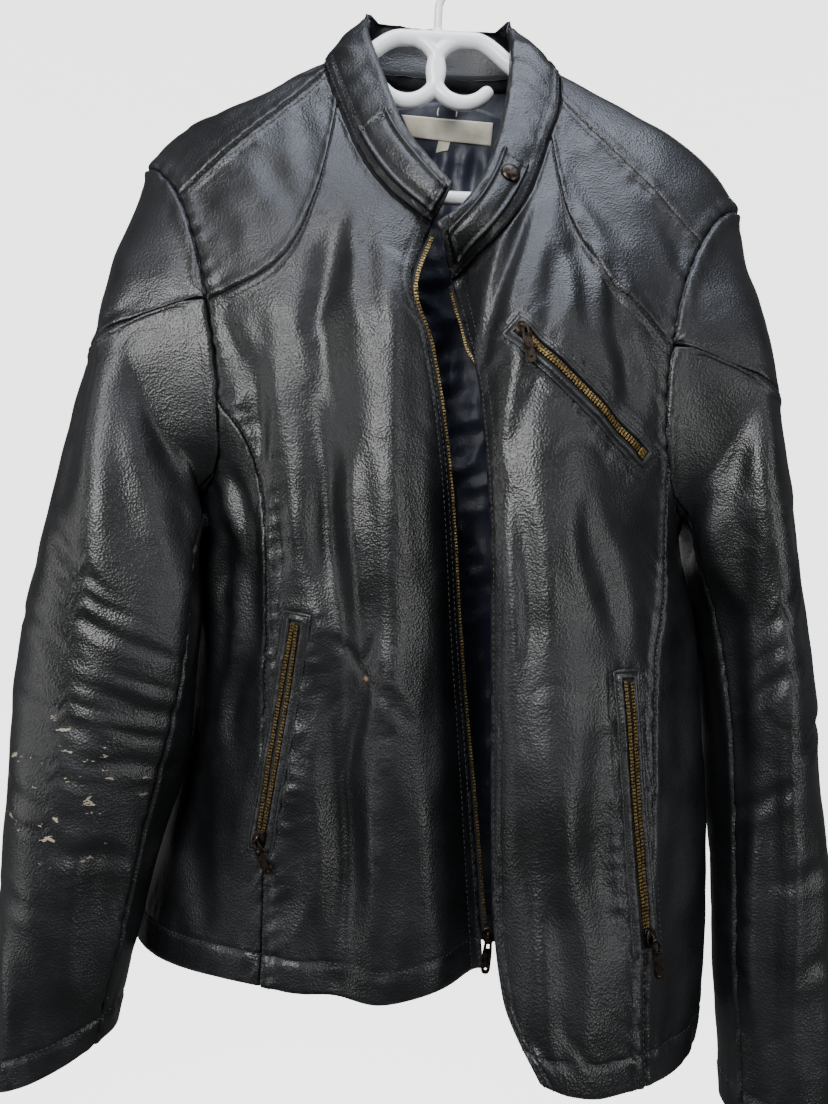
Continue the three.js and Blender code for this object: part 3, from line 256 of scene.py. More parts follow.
def implicit(sign, front, x, y, drop):
    """1 on the body's skin, less inside."""
    centre, reach, depth, side_y = quadrant(sign, front, drop)
    return np.abs((x - centre) / reach) ** ROUNDNESS + np.abs((y - side_y) / depth) ** ROUNDNESS


def body_normal(sign, front, x, y, drop):
    e = 0.5
    gx = implicit(sign, front, x + e, y, drop) - implicit(sign, front, x - e, y, drop)
    gy = implicit(sign, front, x, y + e, drop) - implicit(sign, front, x, y - e, drop)
    gz = implicit(sign, front, x, y, drop - e) - implicit(sign, front, x, y, drop + e)
    return unit(np.stack([gx, gy, gz], -1))


def unit(v):
    return v / np.maximum(np.linalg.norm(v, axis=-1, keepdims=True), 1e-9)


def large_folds(x, drop):
    """How far the large folds of the fronts stand out, along y."""
    total = np.zeros(np.broadcast(x, drop).shape)
    for x0, drop0, x1, drop1, width, depth in FOLDS:
        along = (drop - drop0) / (drop1 - drop0)
        t = np.clip(along, 0, 1)
        beyond = np.abs(along - t) * (drop1 - drop0) / 45
        across = (x - mix(x0, x1, t)) / width
        total = total + depth * np.exp(-across ** 2 - beyond ** 2)
    return total


def section(sign, front, x, drop):
    """Points and normals of the body's quarters, given across the section."""
    x, drop = np.broadcast_arrays(np.asarray(x, float), np.asarray(drop, float))
    centre, reach, depth, side_y = quadrant(sign, front, drop)
    ratio = np.minimum(1, np.abs((x - centre) / reach))
    fullness = (1 - ratio ** ROUNDNESS) ** (1 / ROUNDNESS)
    y = side_y + np.where(front, -1, 1) * depth * fullness
    normal = body_normal(sign, front, x, y, drop)
    fold = np.where(front, large_folds(x, drop) * np.minimum(1, fullness * 2.5), 0)
    return np.stack([x, y - fold, -drop], -1), normal


def skin(phi, drop):
    """The body given by angle round it: 0 in front, negative to the left, 180 behind."""
    phi = np.radians(phi)
    sign = np.where(np.sin(phi) < 0, -1, 1)
    front = np.cos(phi) > 0
    centre, reach, _, _ = quadrant(sign, front, drop)
    x = centre + sign * reach * np.abs(np.sin(phi)) ** (2 / ROUNDNESS)
    return section(sign, front, x, drop)


def angle_at(x, drop, back):
    centre = np.where(back, BACK_CENTRE, BODY["opening"](drop))
    sign = np.where(x < centre, -1, 1)
    reach = quadrant(sign, ~np.asarray(back), drop)[1]
    angle = sign * np.degrees(np.arcsin(np.minimum(1, np.abs((x - centre) / reach)) ** (ROUNDNESS / 2)))
    return np.where(back, sign * 180 - angle, angle)


def on_front(sign):
    return lambda x, drop: section(sign, True, x, drop)


def on_back(x, drop):
    return section(np.where(x < BACK_CENTRE, -1, 1), False, x, drop)


def on_back_turn(psi, drop):
    """The body given by angle from the middle of the back."""
    return skin(np.where(psi < 0, -180 - psi, 180 - psi), drop)


def ridge_drop(x):
    """The drop of the shoulder's ridge at x, found by halving."""
    low = np.full(np.shape(x), 60.0)
    high = np.where(x < 0, float(LEFT["top"]), float(RIGHT["top"]))
    for _ in range(36):
        middle = (low + high) / 2
        edge = np.where(x < 0, -BODY["left"](middle), BODY["right"](middle))
        inside = edge < np.abs(x)
        low, high = np.where(inside, middle, low), np.where(inside, high, middle)
    return high


def over_shoulder(x, over):
    """The body beside the ridge: over is negative in front of it, positive behind."""
    drop = ridge_drop(x) + RIDGE_DROP * over * over
    centre = np.where(over < 0, BODY["opening"](drop), BACK_CENTRE)
    return section(np.where(x < centre, -1, 1), over < 0, x, drop)


def over_pairs(x, drop, back):
    over = np.sqrt(np.maximum(0, drop - ridge_drop(x)) / RIDGE_DROP)
    return np.stack([x, np.where(back, over, -over)], -1)


# ---------------------------------------------------------------- seam lines
def line(rows):
    """A smooth front-view line through places, asked by share of its length."""
    rows = np.asarray(rows, float)
    keys = np.concatenate([[0], np.cumsum(np.hypot(*np.diff(rows, axis=0).T))])
    x, drop = track(keys, rows[:, 0]), track(keys, rows[:, 1])
    return lambda t: np.stack([x(t * keys[-1]), drop(t * keys[-1])], -1)


def armhole(side, theta):
    theta = np.radians(np.asarray(theta, float))
    turn, fore = np.cos(theta), np.sin(theta)
    drop = (side["top"] + side["bottom"]) / 2 - (side["bottom"] - side["top"]) / 2 * turn
    phi = side["sign"] * (90 - side["reach"] * np.abs(fore) ** 0.6 * np.sign(fore))
    point, normal = skin(phi, drop)
    return dict(x=point[..., 0], drop=drop, back=fore < 0, phi=phi, point=point, normal=normal)


def flat(side, theta):
    place = armhole(side, theta)
    return np.stack([place["x"], place["drop"]], -1)


neck_x, neck_drop, top_x, top_y, top_drop = (
    track(np.arange(len(NECKLINE)), [row[k] for row in NECKLINE]) for k in range(5)
)


def neck(at):
    """x and drop of the neckline, and whether it runs behind the neck there."""
    at = np.asarray(at, float)
    drop = neck_drop(at)
    x = np.clip(neck_x(at), BODY["left"](drop), BODY["right"](drop))
    return x, drop, (at > 5) & (at < 9)


def neck_pairs(at):
    x, drop, _ = neck(at)
    return np.stack([x, drop], -1)


def pieces_of(t, *parts):
    """Joins functions of share: parts are (upper share, function of 0..1)."""
    out = np.empty((len(t), 2))
    low = 0.0
    for high, function in parts:
        chosen = (t >= low - 1e-9) & (t <= high + 1e-9)
        out[chosen] = function((t[chosen] - low) / (high - low))
        low = high
    return out


for side in (LEFT, RIGHT):
    places = [flat(side, side[key]) for key in ("shoulder", "yoke", "princess")]
    corner = neck_pairs(side["neck_shoulder"])
    side["shoulder_line"] = line([corner, places[0]])
    side["yoke_line"] = line([neck_pairs(side["neck_yoke"]), *side["yoke_seam"][1:], places[1]])
    side["princess_line"] = line([places[2], *side["princess_seam"]])


def back_side_pairs(side, t):
    """The seam between the back and a side panel: angle round the body, and drop."""
    start = armhole(side, side["back_side"])
    phi = mix(start["phi"], side["sign"] * BACK_SIDE_ANGLE, np.minimum(1, t * 1.6))
    return np.stack([phi, mix(start["drop"], side["side_hem"], t)], -1)


def back_yoke_line(t):
    ends = [flat(side, side["back_yoke"]) for side in (LEFT, RIGHT)]
    return mix(ends[0], ends[1], np.asarray(t)[:, None])


def coons(top, bottom, first, last, s, t):
    """A grid between four border lines that meet at their ends."""
    s, t = s[None, :, None], t[:, None, None]
    ruled = mix(top[None], bottom[None], t) + mix(first[:, None], last[:, None], s)
    return ruled - mix(mix(top[0], top[-1], s), mix(bottom[0], bottom[-1], s), t)


def shares(length, start=EDGE_STEPS, end=EDGE_STEPS, spacing=GRID):
    """Shares of a length, closer together near its ends."""
    low, high = np.array(start), length - np.array(end)[::-1]
    count = max(2, int(round((high[0] - low[-1]) / spacing)) + 1)
    middle = np.linspace(low[-1], high[0], count)[1:-1]
    return np.concatenate([low, middle, high]) / length


# ---------------------------------------------------------------- relief of the leather
def waves(points, wavelength, seed, count=12):
    """Smooth noise: sines of about one wavelength, in random directions."""
    rng = np.random.default_rng(seed)
    total = 0
    for _ in range(count):
        direction = rng.normal(size=3)
        direction *= (2 * np.pi / wavelength) * rng.uniform(0.75, 1.3) / np.linalg.norm(direction)
        total = total + np.sin(points @ direction + rng.uniform(0, 2 * np.pi))
    return total / math.sqrt(count)


def crease_field(u, v, rows, u_scale=1.0, v_scale=1.0):
    """Soft uneven troughs and ridges. A trough pushes up a little leather on both sides."""
    total = np.zeros(np.broadcast(u, v).shape)
    for k, (u0, v0, u1, v1, width, depth, bow) in enumerate(rows):
        du, dv = (u1 - u0) * u_scale, (v1 - v0) * v_scale
        length = math.hypot(du, dv)
        pu, pv = (u - u0) * u_scale, (v - v0) * v_scale
        t = (pu * du + pv * dv) / length ** 2
        inside = np.clip(t, 0, 1)
        wander = bow * np.sin(np.pi * inside) + 0.12 * width * np.sin(9 * inside + 2.1 * k)
        across = ((pu * dv - pv * du) / length - wander) / (width * (0.62 + 0.38 * np.sin(np.pi * inside)))
        taper = np.sin(np.pi * np.clip(t * 0.96 + 0.02, 0, 1)) ** 0.8
        shape = np.exp(-across ** 2) - 0.34 * np.exp(-((np.abs(across) - 1.75) / 0.8) ** 2)
        total = total + depth * taper * shape * ((t > -0.02) & (t < 1.02))
    return total


def softness(points):
    """The unevenness of a soft hide, with a few curved creases of its own."""
    broad = 0.75 * waves(points, 95, 3) + 0.32 * waves(points, 38, 4)
    lines = np.exp(-(waves(points, 52, 5) / 0.34) ** 2) * smooth(waves(points, 120, 6), 0.1, 1.1)
    return broad - 0.7 * lines


def body_relief(points):
    """Creases of the front or the back, faded into each other at the sides, and the hide's own."""
    x, y, drop = points[..., 0], points[..., 1], -points[..., 2]
    forward = smooth(BODY["side_y"](drop) - y, -8, 14)
    front = crease_field(x, drop, FRONT_CREASES)
    back = crease_field(x, drop, BACK_CREASES)
    return forward * front + (1 - forward) * back + softness(points)


def pocket_relief(sign, points):
    """The panel round a pocket: a stitched lip, gathers square to it, and a bed for the welt."""
    x, drop = points[..., 0], -points[..., 2]
    total = 0 * x
    for row in POCKETS:
        if row["sign"] != sign:
            continue
        (x0, drop0), (x1, drop1) = row["start"], row["end"]
        length = math.hypot(x1 - x0, drop1 - drop0)
        u = ((x - x0) * (x1 - x0) + (drop - drop0) * (drop1 - drop0)) / length
        v = ((x - x0) * (drop1 - drop0) - (drop - drop0) * (x1 - x0)) / length
        out_u, out_v = np.maximum(-u, u - length), np.abs(v) - WELT_OUTER
        e = np.where((out_u > 0) & (out_v > 0), np.hypot(out_u, out_v), np.maximum(out_u, out_v))
        beside = smooth(e, -1.5, 0.5)
        lip = 1.5 * dent(e, 0.9, 0.9) - 0.7 * dent(e, 2.6, 0.8) + 0.5 * dent(e, 5, 2.4)
        gathers = np.maximum(puckers(u, e, 8.5), -0.6) * np.exp(-np.maximum(e, 0) / 9) * smooth(e, 1, 4)
        total = total + beside * (lip + 1.3 * gathers) - 0.8 * (1 - beside)
    return total


def sleeve_relief(side, theta, along, points):
    turn = np.where(theta < 0, theta + 360, theta)
    return crease_field(turn, along, SLEEVE_CREASES[side["name"]], 0.95, 650) + softness(points)


def dent(e, at, width):
    return np.exp(-((e - at) / width) ** 2)


def edge_profile(kind, e, pucker):
    """What an edge does to the leather beside it, by distance from it in millimetres."""
    if kind == "band":       # the seam's turnings stitched down under it make a raised band
        rise = 1.3 * smooth(e, 0.1, 1.3) * (1 - smooth(e, 7.6, 9.4))
        held = 0.55 * dent(e, 1.9, 0.8) + 0.75 * dent(e, BAND_STITCH, 0.9)
        return rise - 1.3 * dent(e, 0, 1.0) - held + 0.9 * pucker * np.exp(-np.abs(e - 8.5) / 7)
    if kind == "sewn":
        rise = 0.6 * smooth(e, 0.3, 2.4) * (1 - smooth(e, 4, 11))
        return rise - 1.3 * dent(e, 0, 1.3) + 0.9 * pucker * np.exp(-e / 8)
    if kind == "armhole":
        rise = 1.2 * smooth(e, 0.3, 3.0) * (1 - smooth(e, 5, 14))
        return rise - 1.1 * dent(e, 0, 1.4) + 1.4 * pucker * np.exp(-e / 10)
    if kind == "zip":        # a folded edge with one row of stitches
        swell = 0.6 * smooth(e, 0.2, 2.0) * (1 - smooth(e, 7, ZIP_STITCH))
        held = swell - 1.0 * dent(e, 0, 0.9) - 0.6 * dent(e, ZIP_STITCH, 1.0)
        return held + 0.8 * pucker * np.exp(-np.abs(e - 9) / 6)
    if kind == "hem":
        swell = 0.8 * smooth(e, 0, 3) * (1 - smooth(e, HEM_STITCH - 2, HEM_STITCH))
        held = swell - dent(e, 0, 0.9) - 0.7 * dent(e, HEM_STITCH, 1.5)
        return held + pucker * np.exp(-np.abs(e - HEM_STITCH) / 8)
    if kind == "rolled":     # a padded rim, stitched inside it
        roll = 1.5 * dent(e, 1.9, 1.6) - 1.1 * dent(e, ROLL_STITCH, 1.0) + 0.5 * smooth(e, 5.5, 8)
        return roll - 1.2 * dent(e, 0, 0.7) + 0.5 * pucker * np.exp(-np.abs(e - 5) / 4)
    return 0 * e


# How far from the edge each kind's rows of stitches run.
STITCH_ROWS = {
    "band": (1.9, BAND_STITCH), "zip": (2.4, ZIP_STITCH), "hem": (HEM_STITCH,), "rolled": (ROLL_STITCH,),
    "sewn": (), "armhole": (),
}
THREAD_LIFT = 0.15


def gaps(points, axis):
    step = np.linalg.norm(np.diff(points, axis=axis), axis=-1)
    zero = np.zeros_like(np.take(step, [0], axis=axis))
    return np.concatenate([zero, np.cumsum(step, axis=axis)], axis=axis)


def puckers(along, away, wavelength=11.0):
    """Small gathers that run square to a row of stitches."""
    place = np.stack([along, away * 0.3, along * 0], -1)
    uneven = 0.35 + 0.65 * smooth(waves(place, 75, 12), -1, 1.2)
    return waves(place, wavelength, 11, 10) * uneven


def edge_distances(points):
    along, down = gaps(points, 1), gaps(points, 0)
    return dict(first=along, last=along[:, -1:] - along, top=down, bottom=down[-1:] - down)


stitches = {"front": [], "back": []}


def row_at(points, normals, distance, name, offset):
    """The line that runs at an offset from one edge of a grid."""
    d = distance[name]
    if name in ("first", "last"):
        lines = [(d[j], points[j], normals[j]) for j in range(len(points))]
    else:
        lines = [(d[:, i], points[:, i], normals[:, i]) for i in range(points.shape[1])]
    path, outs = [], []
    for away, run, out in lines:
        order = np.argsort(away)
        if away[order[-1]] < offset:
            path.append(None)
            outs.append(None)
            continue
        path.append([np.interp(offset, away[order], run[order, k]) for k in range(3)])
        outs.append([np.interp(offset, away[order], out[order, k]) for k in range(3)])
    return path, outs


def add_stitches(group, points, normals, distance, edges):
    for name, rules in edges.items():
        for kind, mask in rules:
            for offset in STITCH_ROWS[kind]:
                path, outs = row_at(points, normals, distance, name, offset)
                run = []
                for k, place in enumerate(path):
                    shown = place is not None and (mask is None or mask[k] > 0.5)
                    if shown:
                        run.append((np.array(place) + THREAD_LIFT * np.array(outs[k]), outs[k]))
                    if run and (not shown or k == len(path) - 1):
                        stitches[group].append(run)
                        run = []


# ---------------------------------------------------------------- meshes
def linked(name, data):
    """An object in the scene for a mesh, curve, light or camera."""
    thing = bpy.data.objects.new(name, data)
    bpy.context.scene.collection.objects.link(thing)
    return thing


def evaluated(carrier):
    """The mesh that a carrier's curve or modifiers make; the carrier goes."""
    mesh = bpy.data.meshes.new_from_object(carrier.evaluated_get(bpy.context.evaluated_depsgraph_get()))
    bpy.data.objects.remove(carrier)
    return mesh


def smooth_shaded(mesh):
    mesh.polygons.foreach_set("use_smooth", np.ones(len(mesh.polygons), bool))


def enrol(piece, slot, *nodes, body=GARMENT):
    """Says which body a piece rides on and the solids it stands for; slot is not used."""
    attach(piece, body)
    if nodes:
        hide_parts(*nodes)
    return piece


def mesh_object(name, vertices, faces, materials, indices=None, attributes=None):
    mesh = bpy.data.meshes.new(name)
    mesh.from_pydata((np.asarray(vertices) * MM).tolist(), [], faces)
    for material in materials:
        mesh.materials.append(material)
    if indices is not None:
        mesh.polygons.foreach_set("material_index", np.asarray(indices, np.int32))
    smooth_shaded(mesh)
    for key, values in (attributes or {}).items():
        layer = mesh.attributes.new(key, "FLOAT", "POINT")
        layer.data.foreach_set("value", np.asarray(values, np.float32).ravel())
    mesh.update()
    return linked(name, mesh)


def recalculate(piece):
    """Turns a closed mesh's faces outwards."""
    work = bmesh.new()
    work.from_mesh(piece.data)
    bmesh.ops.recalc_face_normals(work, faces=work.faces)
    work.to_mesh(piece.data)
    work.free()
    return piece


def shell(name, points, normals, thickness, materials, wear_and_sheen=None):
    """A closed wall over a grid: leather outside, the second material inside."""
    rows, columns = points.shape[:2]
    inner = points - normals * np.asarray(thickness)[..., None]
    grid = np.arange(rows * columns).reshape(rows, columns)
    a, b, c, d = (grid[:-1, :-1], grid[1:, :-1], grid[1:, 1:], grid[:-1, 1:])
    j, i = rows // 2, columns // 2
    across = points[j, min(i + 1, columns - 1)] - points[j, i - 1]
    downwards = points[min(j + 1, rows - 1), i] - points[j - 1, i]
    flip = np.dot(np.cross(downwards, across), normals[j, i]) < 0
    outside = np.stack([a, b, c, d], -1).reshape(-1, 4)
    layer = rows * columns
    inside = outside[:, ::-1] + layer
    loop = np.concatenate([grid[:, 0], grid[-1, 1:], grid[-2::-1, -1], grid[0, -2:0:-1]])
    after = np.roll(loop, -1)
    rim = np.stack([loop, loop + layer, after + layer, after], -1)
    faces = np.concatenate([outside, inside, rim])
    if flip:
        faces = faces[:, ::-1]
    indices = np.concatenate([np.zeros(len(outside)), np.ones(len(inside)), np.zeros(len(rim))])
    values = np.zeros((rows, columns)) if wear_and_sheen is None else wear_and_sheen
    attributes = {"wear_and_sheen": np.concatenate([values.ravel(), values.ravel()])}
    vertices = np.concatenate([points.reshape(-1, 3), inner.reshape(-1, 3)])
    return mesh_object(name, vertices, faces.tolist(), materials, indices, attributes)


def declare(piece, nodes, slot="leather"):
    """Says what a cloth piece is: its body and the solids it stands for; slot is passed on but not used."""
    enrol(piece, slot, *nodes)


def edges_of(**kinds):
    """What a grid's edges do: for each one a kind, or rows of (kind, how much of it along the edge)."""
    return {edge: [(rule, None)] if isinstance(rule, str) else rule for edge, rule in kinds.items()}


def cloth(name, node_name, base, normals, relief, edges, group):
    """One leather panel: base grid, its relief, what its edges do, its stitch rows."""
    distance = edge_distances(base)
    total = relief.copy()
    # crests of the relief are lightened: a painted highlight; the rims below are lightened as rubbed wear
    wear_and_sheen = smooth(relief, 1.2, 4.5) * 0.4
    walls = np.full(relief.shape, LEATHER)
    for edge, rules in edges.items():
        e = distance[edge]
        pucker = puckers(distance["first" if edge in ("top", "bottom") else "top"], e)
        for kind, mask in rules:
            weight = 1 if mask is None else (mask[:, None] if edge in ("first", "last") else mask[None, :])
            if kind == "armhole":
                total = total * (1 - weight * np.exp(-e / 5))
            total = total + weight * edge_profile(kind, e, pucker)
            if kind in ("band", "zip", "hem"):
                rim = 7.8 if kind == "band" else 0.8
                wear_and_sheen = np.maximum(wear_and_sheen, weight * np.exp(-((e - rim) / 1.6) ** 2))
            if kind in ("zip", "hem"):
                inner = HEM_STITCH if kind == "hem" else ZIP_STITCH
                walls = walls + weight * 1.1 * smooth(e, 0.2, 1.5) * (1 - smooth(e, inner - 2, inner))
    points = base + normals * total[..., None]
    piece = shell(name, points, normals, walls, [MATERIALS["leather"], MATERIALS["satin"]], wear_and_sheen)
    add_stitches(group, points, normals, distance, edges)
    declare(piece, [node_name])
    return points


# ---------------------------------------------------------------- materials
def srgb(code):
    channels = [int(code[k:k + 2], 16) / 255 for k in (0, 2, 4)]
    return tuple(c / 12.92 if c <= 0.04045 else ((c + 0.055) / 1.055) ** 2.4 for c in channels) + (1.0,)


def add(tree, kind, inputs=None, **settings):
    """Adds a node with its settings; an input is a value or the socket it comes from."""
    new = tree.nodes.new(kind)
    for key, value in settings.items():
        setattr(new, key, value)
    for key, value in (inputs or {}).items():
        if isinstance(value, bpy.types.NodeSocket):
            tree.links.new(value, new.inputs[key])
        else:
            new.inputs[key].default_value = value
    return new


class Shading:
    """A material with one Principled surface, in Object coordinates."""

    def __init__(self, name, **shader):
        self.material = bpy.data.materials.new(name)
        self.material.use_nodes = True
        self.tree = self.material.node_tree
        self.tree.nodes.clear()
        self.surface = add(self.tree, "ShaderNodeBsdfPrincipled", shader)
        output = add(self.tree, "ShaderNodeOutputMaterial")
        self.tree.links.new(self.surface.outputs[0], output.inputs[0])
        self.coords = add(self.tree, "ShaderNodeTexCoord").outputs["Object"]

    def noise(self, scale, detail=2.0, roughness=0.5, vector=None):
        inputs = {"Vector": vector or self.coords, "Scale": scale, "Detail": detail, "Roughness": roughness}
        return add(self.tree, "ShaderNodeTexNoise", inputs).outputs[0]

    def stripes(self, scale, distortion=0.0, bands="X", detail=2.0):
        inputs = {"Vector": self.coords, "Scale": scale, "Distortion": distortion, "Detail": detail}
        return add(self.tree, "ShaderNodeTexWave", inputs, bands_direction=bands).outputs["Fac"]

    def math(self, operation, *values):
        return add(self.tree, "ShaderNodeMath", dict(enumerate(values)), operation=operation).outputs[0]

    def ramped(self, value, low, high, out_low=0.0, out_high=1.0):
        return add(self.tree, "ShaderNodeMapRange", {
            "Value": value, "From Min": low, "From Max": high, "To Min": out_low, "To Max": out_high,
        }, interpolation_type="SMOOTHSTEP").outputs[0]

    def blend(self, factor, a, b):
        mixer = add(self.tree, "ShaderNodeMix", {"Factor": factor}, data_type="RGBA")
        for index, value in ((6, a), (7, b)):
            if isinstance(value, bpy.types.NodeSocket):
                self.tree.links.new(value, mixer.inputs[index])
            else:
                mixer.inputs[index].default_value = srgb(value)
        return mixer.outputs[2]

    def near(self, noise, place, radius, ragged):
        """1 near a place on the piece, with a ragged border."""
        away = add(self.tree, "ShaderNodeVectorMath", {0: self.coords, 1: [v * MM for v in place]},
                   operation="DISTANCE").outputs["Value"]
        total = self.math("MULTIPLY_ADD", noise, ragged * MM, away)
        return self.ramped(total, (radius + ragged * 0.8) * MM, (radius + ragged * 0.3) * MM)

    def bump(self, height, strength, distance=0.001, under=None):
        inputs = {"Height": height, "Strength": strength, "Distance": distance}
        if under:
            inputs["Normal"] = under
        return add(self.tree, "ShaderNodeBump", inputs).outputs[0]

    def finish(self, **sockets):
        """Links sockets of the surface, named with underscores, and returns the material."""
        for key, value in sockets.items():
            self.tree.links.new(value, self.surface.inputs[key.replace("_", " ")])
        return self.material


# Drum-dyed cowhide with a semi-aniline topcoat: fine pebbles, a soft grey sheen, a painted highlight that
# lightens crests, and wear that lightens rims.
def leather_material():
    hide = Shading("semi_aniline_cowhide", IOR=1.5)
    broad = hide.noise(14.0, 3.0, 0.6)
    # dry wrinkles that lie level, 6 mm down to hairlines, and about twice as long as they are high
    stretch = {0: hide.coords, 1: (0.6, 0.6, 1.5)}
    level = add(hide.tree, "ShaderNodeVectorMath", stretch, operation="MULTIPLY").outputs[0]
    fine = hide.noise(110.0, 3.0, 0.62, level)
    # pebbles about 1.6 mm across
    pebbles = {"Vector": hide.coords, "Scale": 620.0}
    pebble = add(hide.tree, "ShaderNodeTexVoronoi", pebbles).outputs["Distance"]
    wear_and_sheen = add(hide.tree, "ShaderNodeAttribute", attribute_name="wear_and_sheen").outputs["Fac"]
    rubbed_and_sheen = hide.math("MULTIPLY", wear_and_sheen, hide.ramped(fine, 0.38, 0.62))
    colour = hide.blend(hide.ramped(broad, 0.35, 0.65), "0a0b0c", "121315")
    # lighter grey on the crests of the relief is a painted highlight; on the rims it is rubbed wear
    colour = hide.blend(rubbed_and_sheen, colour, "2e2e30")
    # a tear through the finish, and dried paint splashes on one forearm
    colour = hide.blend(hide.near(fine, TEAR, 1.6, 5.0), colour, "8a6048")
    splash = hide.math("MULTIPLY", hide.near(broad, SPLASH, 50.0, 50.0), hide.ramped(fine, 0.655, 0.685))
    colour = hide.blend(splash, colour, "948c79")
    rough = hide.math("MULTIPLY_ADD", rubbed_and_sheen, 0.1, hide.ramped(broad, 0.3, 0.7, 0.33, 0.45))
    relief = hide.bump(fine, 0.4, 0.0007, under=hide.bump(pebble, 0.6, 0.0004))
    return hide.finish(Base_Color=colour, Roughness=rough, Normal=relief)


# Polyester satin lining: dark navy, weft floats give a soft stretched highlight.
def satin_material():
    satin = Shading("polyester_satin", **{
        "Base Color": srgb("262b3a"), "Roughness": 0.48, "Sheen Weight": 0.25, "Sheen Roughness": 0.4,
    })
    # weave drawn at 0.8 mm so that it shows
    weave = satin.bump(satin.stripes(200.0, 1.5), 0.12, 0.0002)
    return satin.finish(Normal=satin.bump(satin.noise(55.0, 4.0), 0.6, 0.003, under=weave))


# Woven zip tape: matt black polyester twill.
def tape_material():
    tape = Shading("polyester_zip_tape", **{"Base Color": srgb("121215"), "Roughness": 0.85})
    return tape.finish(Normal=tape.bump(tape.stripes(230.0, bands="DIAGONAL"), 0.5, 0.0003))


def metal_material(name, colour, dark, roughness, scale):
    metal = Shading(name, Metallic=1.0, Roughness=roughness)
    tarnish = metal.noise(scale, 4.0)
    tone = metal.blend(metal.ramped(tarnish, 0.4, 0.62), colour, dark)
    return metal.finish(Base_Color=tone, Normal=metal.bump(tarnish, 0.3, 0.0002))


# Bonded nylon thread: black with a faint shine.
def thread_material():
    thread = Shading("bonded_nylon_thread", Roughness=0.5)
    return thread.finish(Base_Color=thread.blend(thread.noise(300.0), "1b1b1e", "2b2b2e"))


# Damask label cloth: cream polyester, plain and bare.
def label_material():
    damask = Shading("cream_damask", Roughness=0.8)
    threads = damask.stripes(260.0, 0.6, bands="Z")
    tone = damask.blend(damask.ramped(damask.noise(60.0, 3.0), 0.35, 0.7), "d9d4c2", "c2bba6")
    return damask.finish(Base_Color=tone, Normal=damask.bump(threads, 0.4, 0.0002))


# Injection-moulded polystyrene: bright white, glossy, with faint flow marks.
def plastic_material():
    plastic = Shading("moulded_polystyrene", **{
        "Base Color": srgb("f3f5f7"), "IOR": 1.59, "Coat Weight": 0.3, "Coat Roughness": 0.12,
        "Subsurface Weight": 0.08, "Subsurface Radius": (0.004, 0.004, 0.004),
    })
    flow = plastic.noise(18.0)
    gloss = plastic.ramped(flow, 0.3, 0.7, 0.2, 0.32)
    return plastic.finish(Roughness=gloss, Normal=plastic.bump(flow, 0.1, 0.002))


# Matt white paint on the studio's floor and wall, lit from inside so that it stays even.
def stage_material():
    paint = Shading("painted_backdrop", **{
        "Base Color": srgb("f4f4f2"), "Roughness": 0.9, "Emission Color": srgb("f8f8f6"),
        "Emission Strength": 2.8,
    })
    return paint.finish(Normal=paint.bump(paint.noise(2.0), 0.02))


def relieved(surface_at):
    """A body surface with its relief, for what lies on it."""
    def at(u, v):
        points, normals = surface_at(u, v)
        return points + normals * body_relief(points)[..., None], normals
    return at


# where the finish is torn, and where paint has splashed: x, y, z
TEAR = section(-1, True, np.array(-29.0), np.array(579.0))[0].tolist()
SPLASH = (-240.0, -82.0, -664.0)

MATERIALS = {
    "leather": leather_material(),
    "satin": satin_material(),
    "tape": tape_material(),
    # zip teeth: brass, dulled and browned in the gaps
    "brass": metal_material("tarnished_brass", "8c774b", "3d3220", 0.43, 900.0),
    # sliders, pulls and snap: blackened brass
    "dark": metal_material("blackened_brass", "473e37", "241f1c", 0.36, 300.0),
    "thread": thread_material(),
    "label": label_material(),
    "plastic": plastic_material(),
}


# ---------------------------------------------------------------- panels of the body
def front_panel(side):
    share = side["neck_share"]
    s = shares(170)
    t = shares(520, end=HEM_STEPS)
    top = pieces_of(
        s,
        (share, lambda q: neck_pairs(mix(side["neck_front"], side["neck_yoke"], q))),
        (1, side["yoke_line"]),
    )
    last = pieces_of(
        t,
        (ARMHOLE_SHARE, lambda q: flat(side, mix(side["yoke"], side["princess"], q))),
        (1, side["princess_line"]),
    )
    edge_rows = [neck_pairs(side["neck_front"]), *side["edge"][1:]]
    pairs = coons(top, line(side["hem"])(s), line(edge_rows)(t), last, s, t)
    base, normals = section(side["sign"], True, pairs[..., 0], pairs[..., 1])
    on_neck = 1 - smooth(s, share - 0.01, share + 0.01)
    on_armhole = 1 - smooth(t, ARMHOLE_SHARE - 0.004, ARMHOLE_SHARE + 0.004)
    edges = edges_of(
        first="zip", top=[("sewn", on_neck), ("band", 1 - on_neck)],
        last=[("armhole", on_armhole), ("band", 1 - on_armhole)], bottom="hem",
    )
    name = f"front_{side['name']}"
    relief = body_relief(base) + pocket_relief(side["sign"], base)
    points = cloth(f"{name}_leather", name, base, normals, relief, edges, "front")
    return points, normals


def front_yoke(side):
    s, t = shares(140), shares(90)
    inner = neck_pairs(mix(side["neck_shoulder"], side["neck_yoke"], t))
    outer = flat(side, mix(side["shoulder"], side["yoke"], t))
    pairs = coons(side["shoulder_line"](s), side["yoke_line"](s), inner, outer, s, t)
    base, normals = section(side["sign"], True, pairs[..., 0], pairs[..., 1])
    edges = edges_of(top="band", bottom="sewn", first="sewn", last="armhole")
    name = f"front_yoke_{side['name']}"
    cloth(f"{name}_leather", name, base, normals, body_relief(base), edges, "front")


def turn_pairs(pairs):
    angle = angle_at(pairs[:, 0], pairs[:, 1], np.zeros(len(pairs), bool))
    return np.stack([angle, pairs[:, 1]], -1)


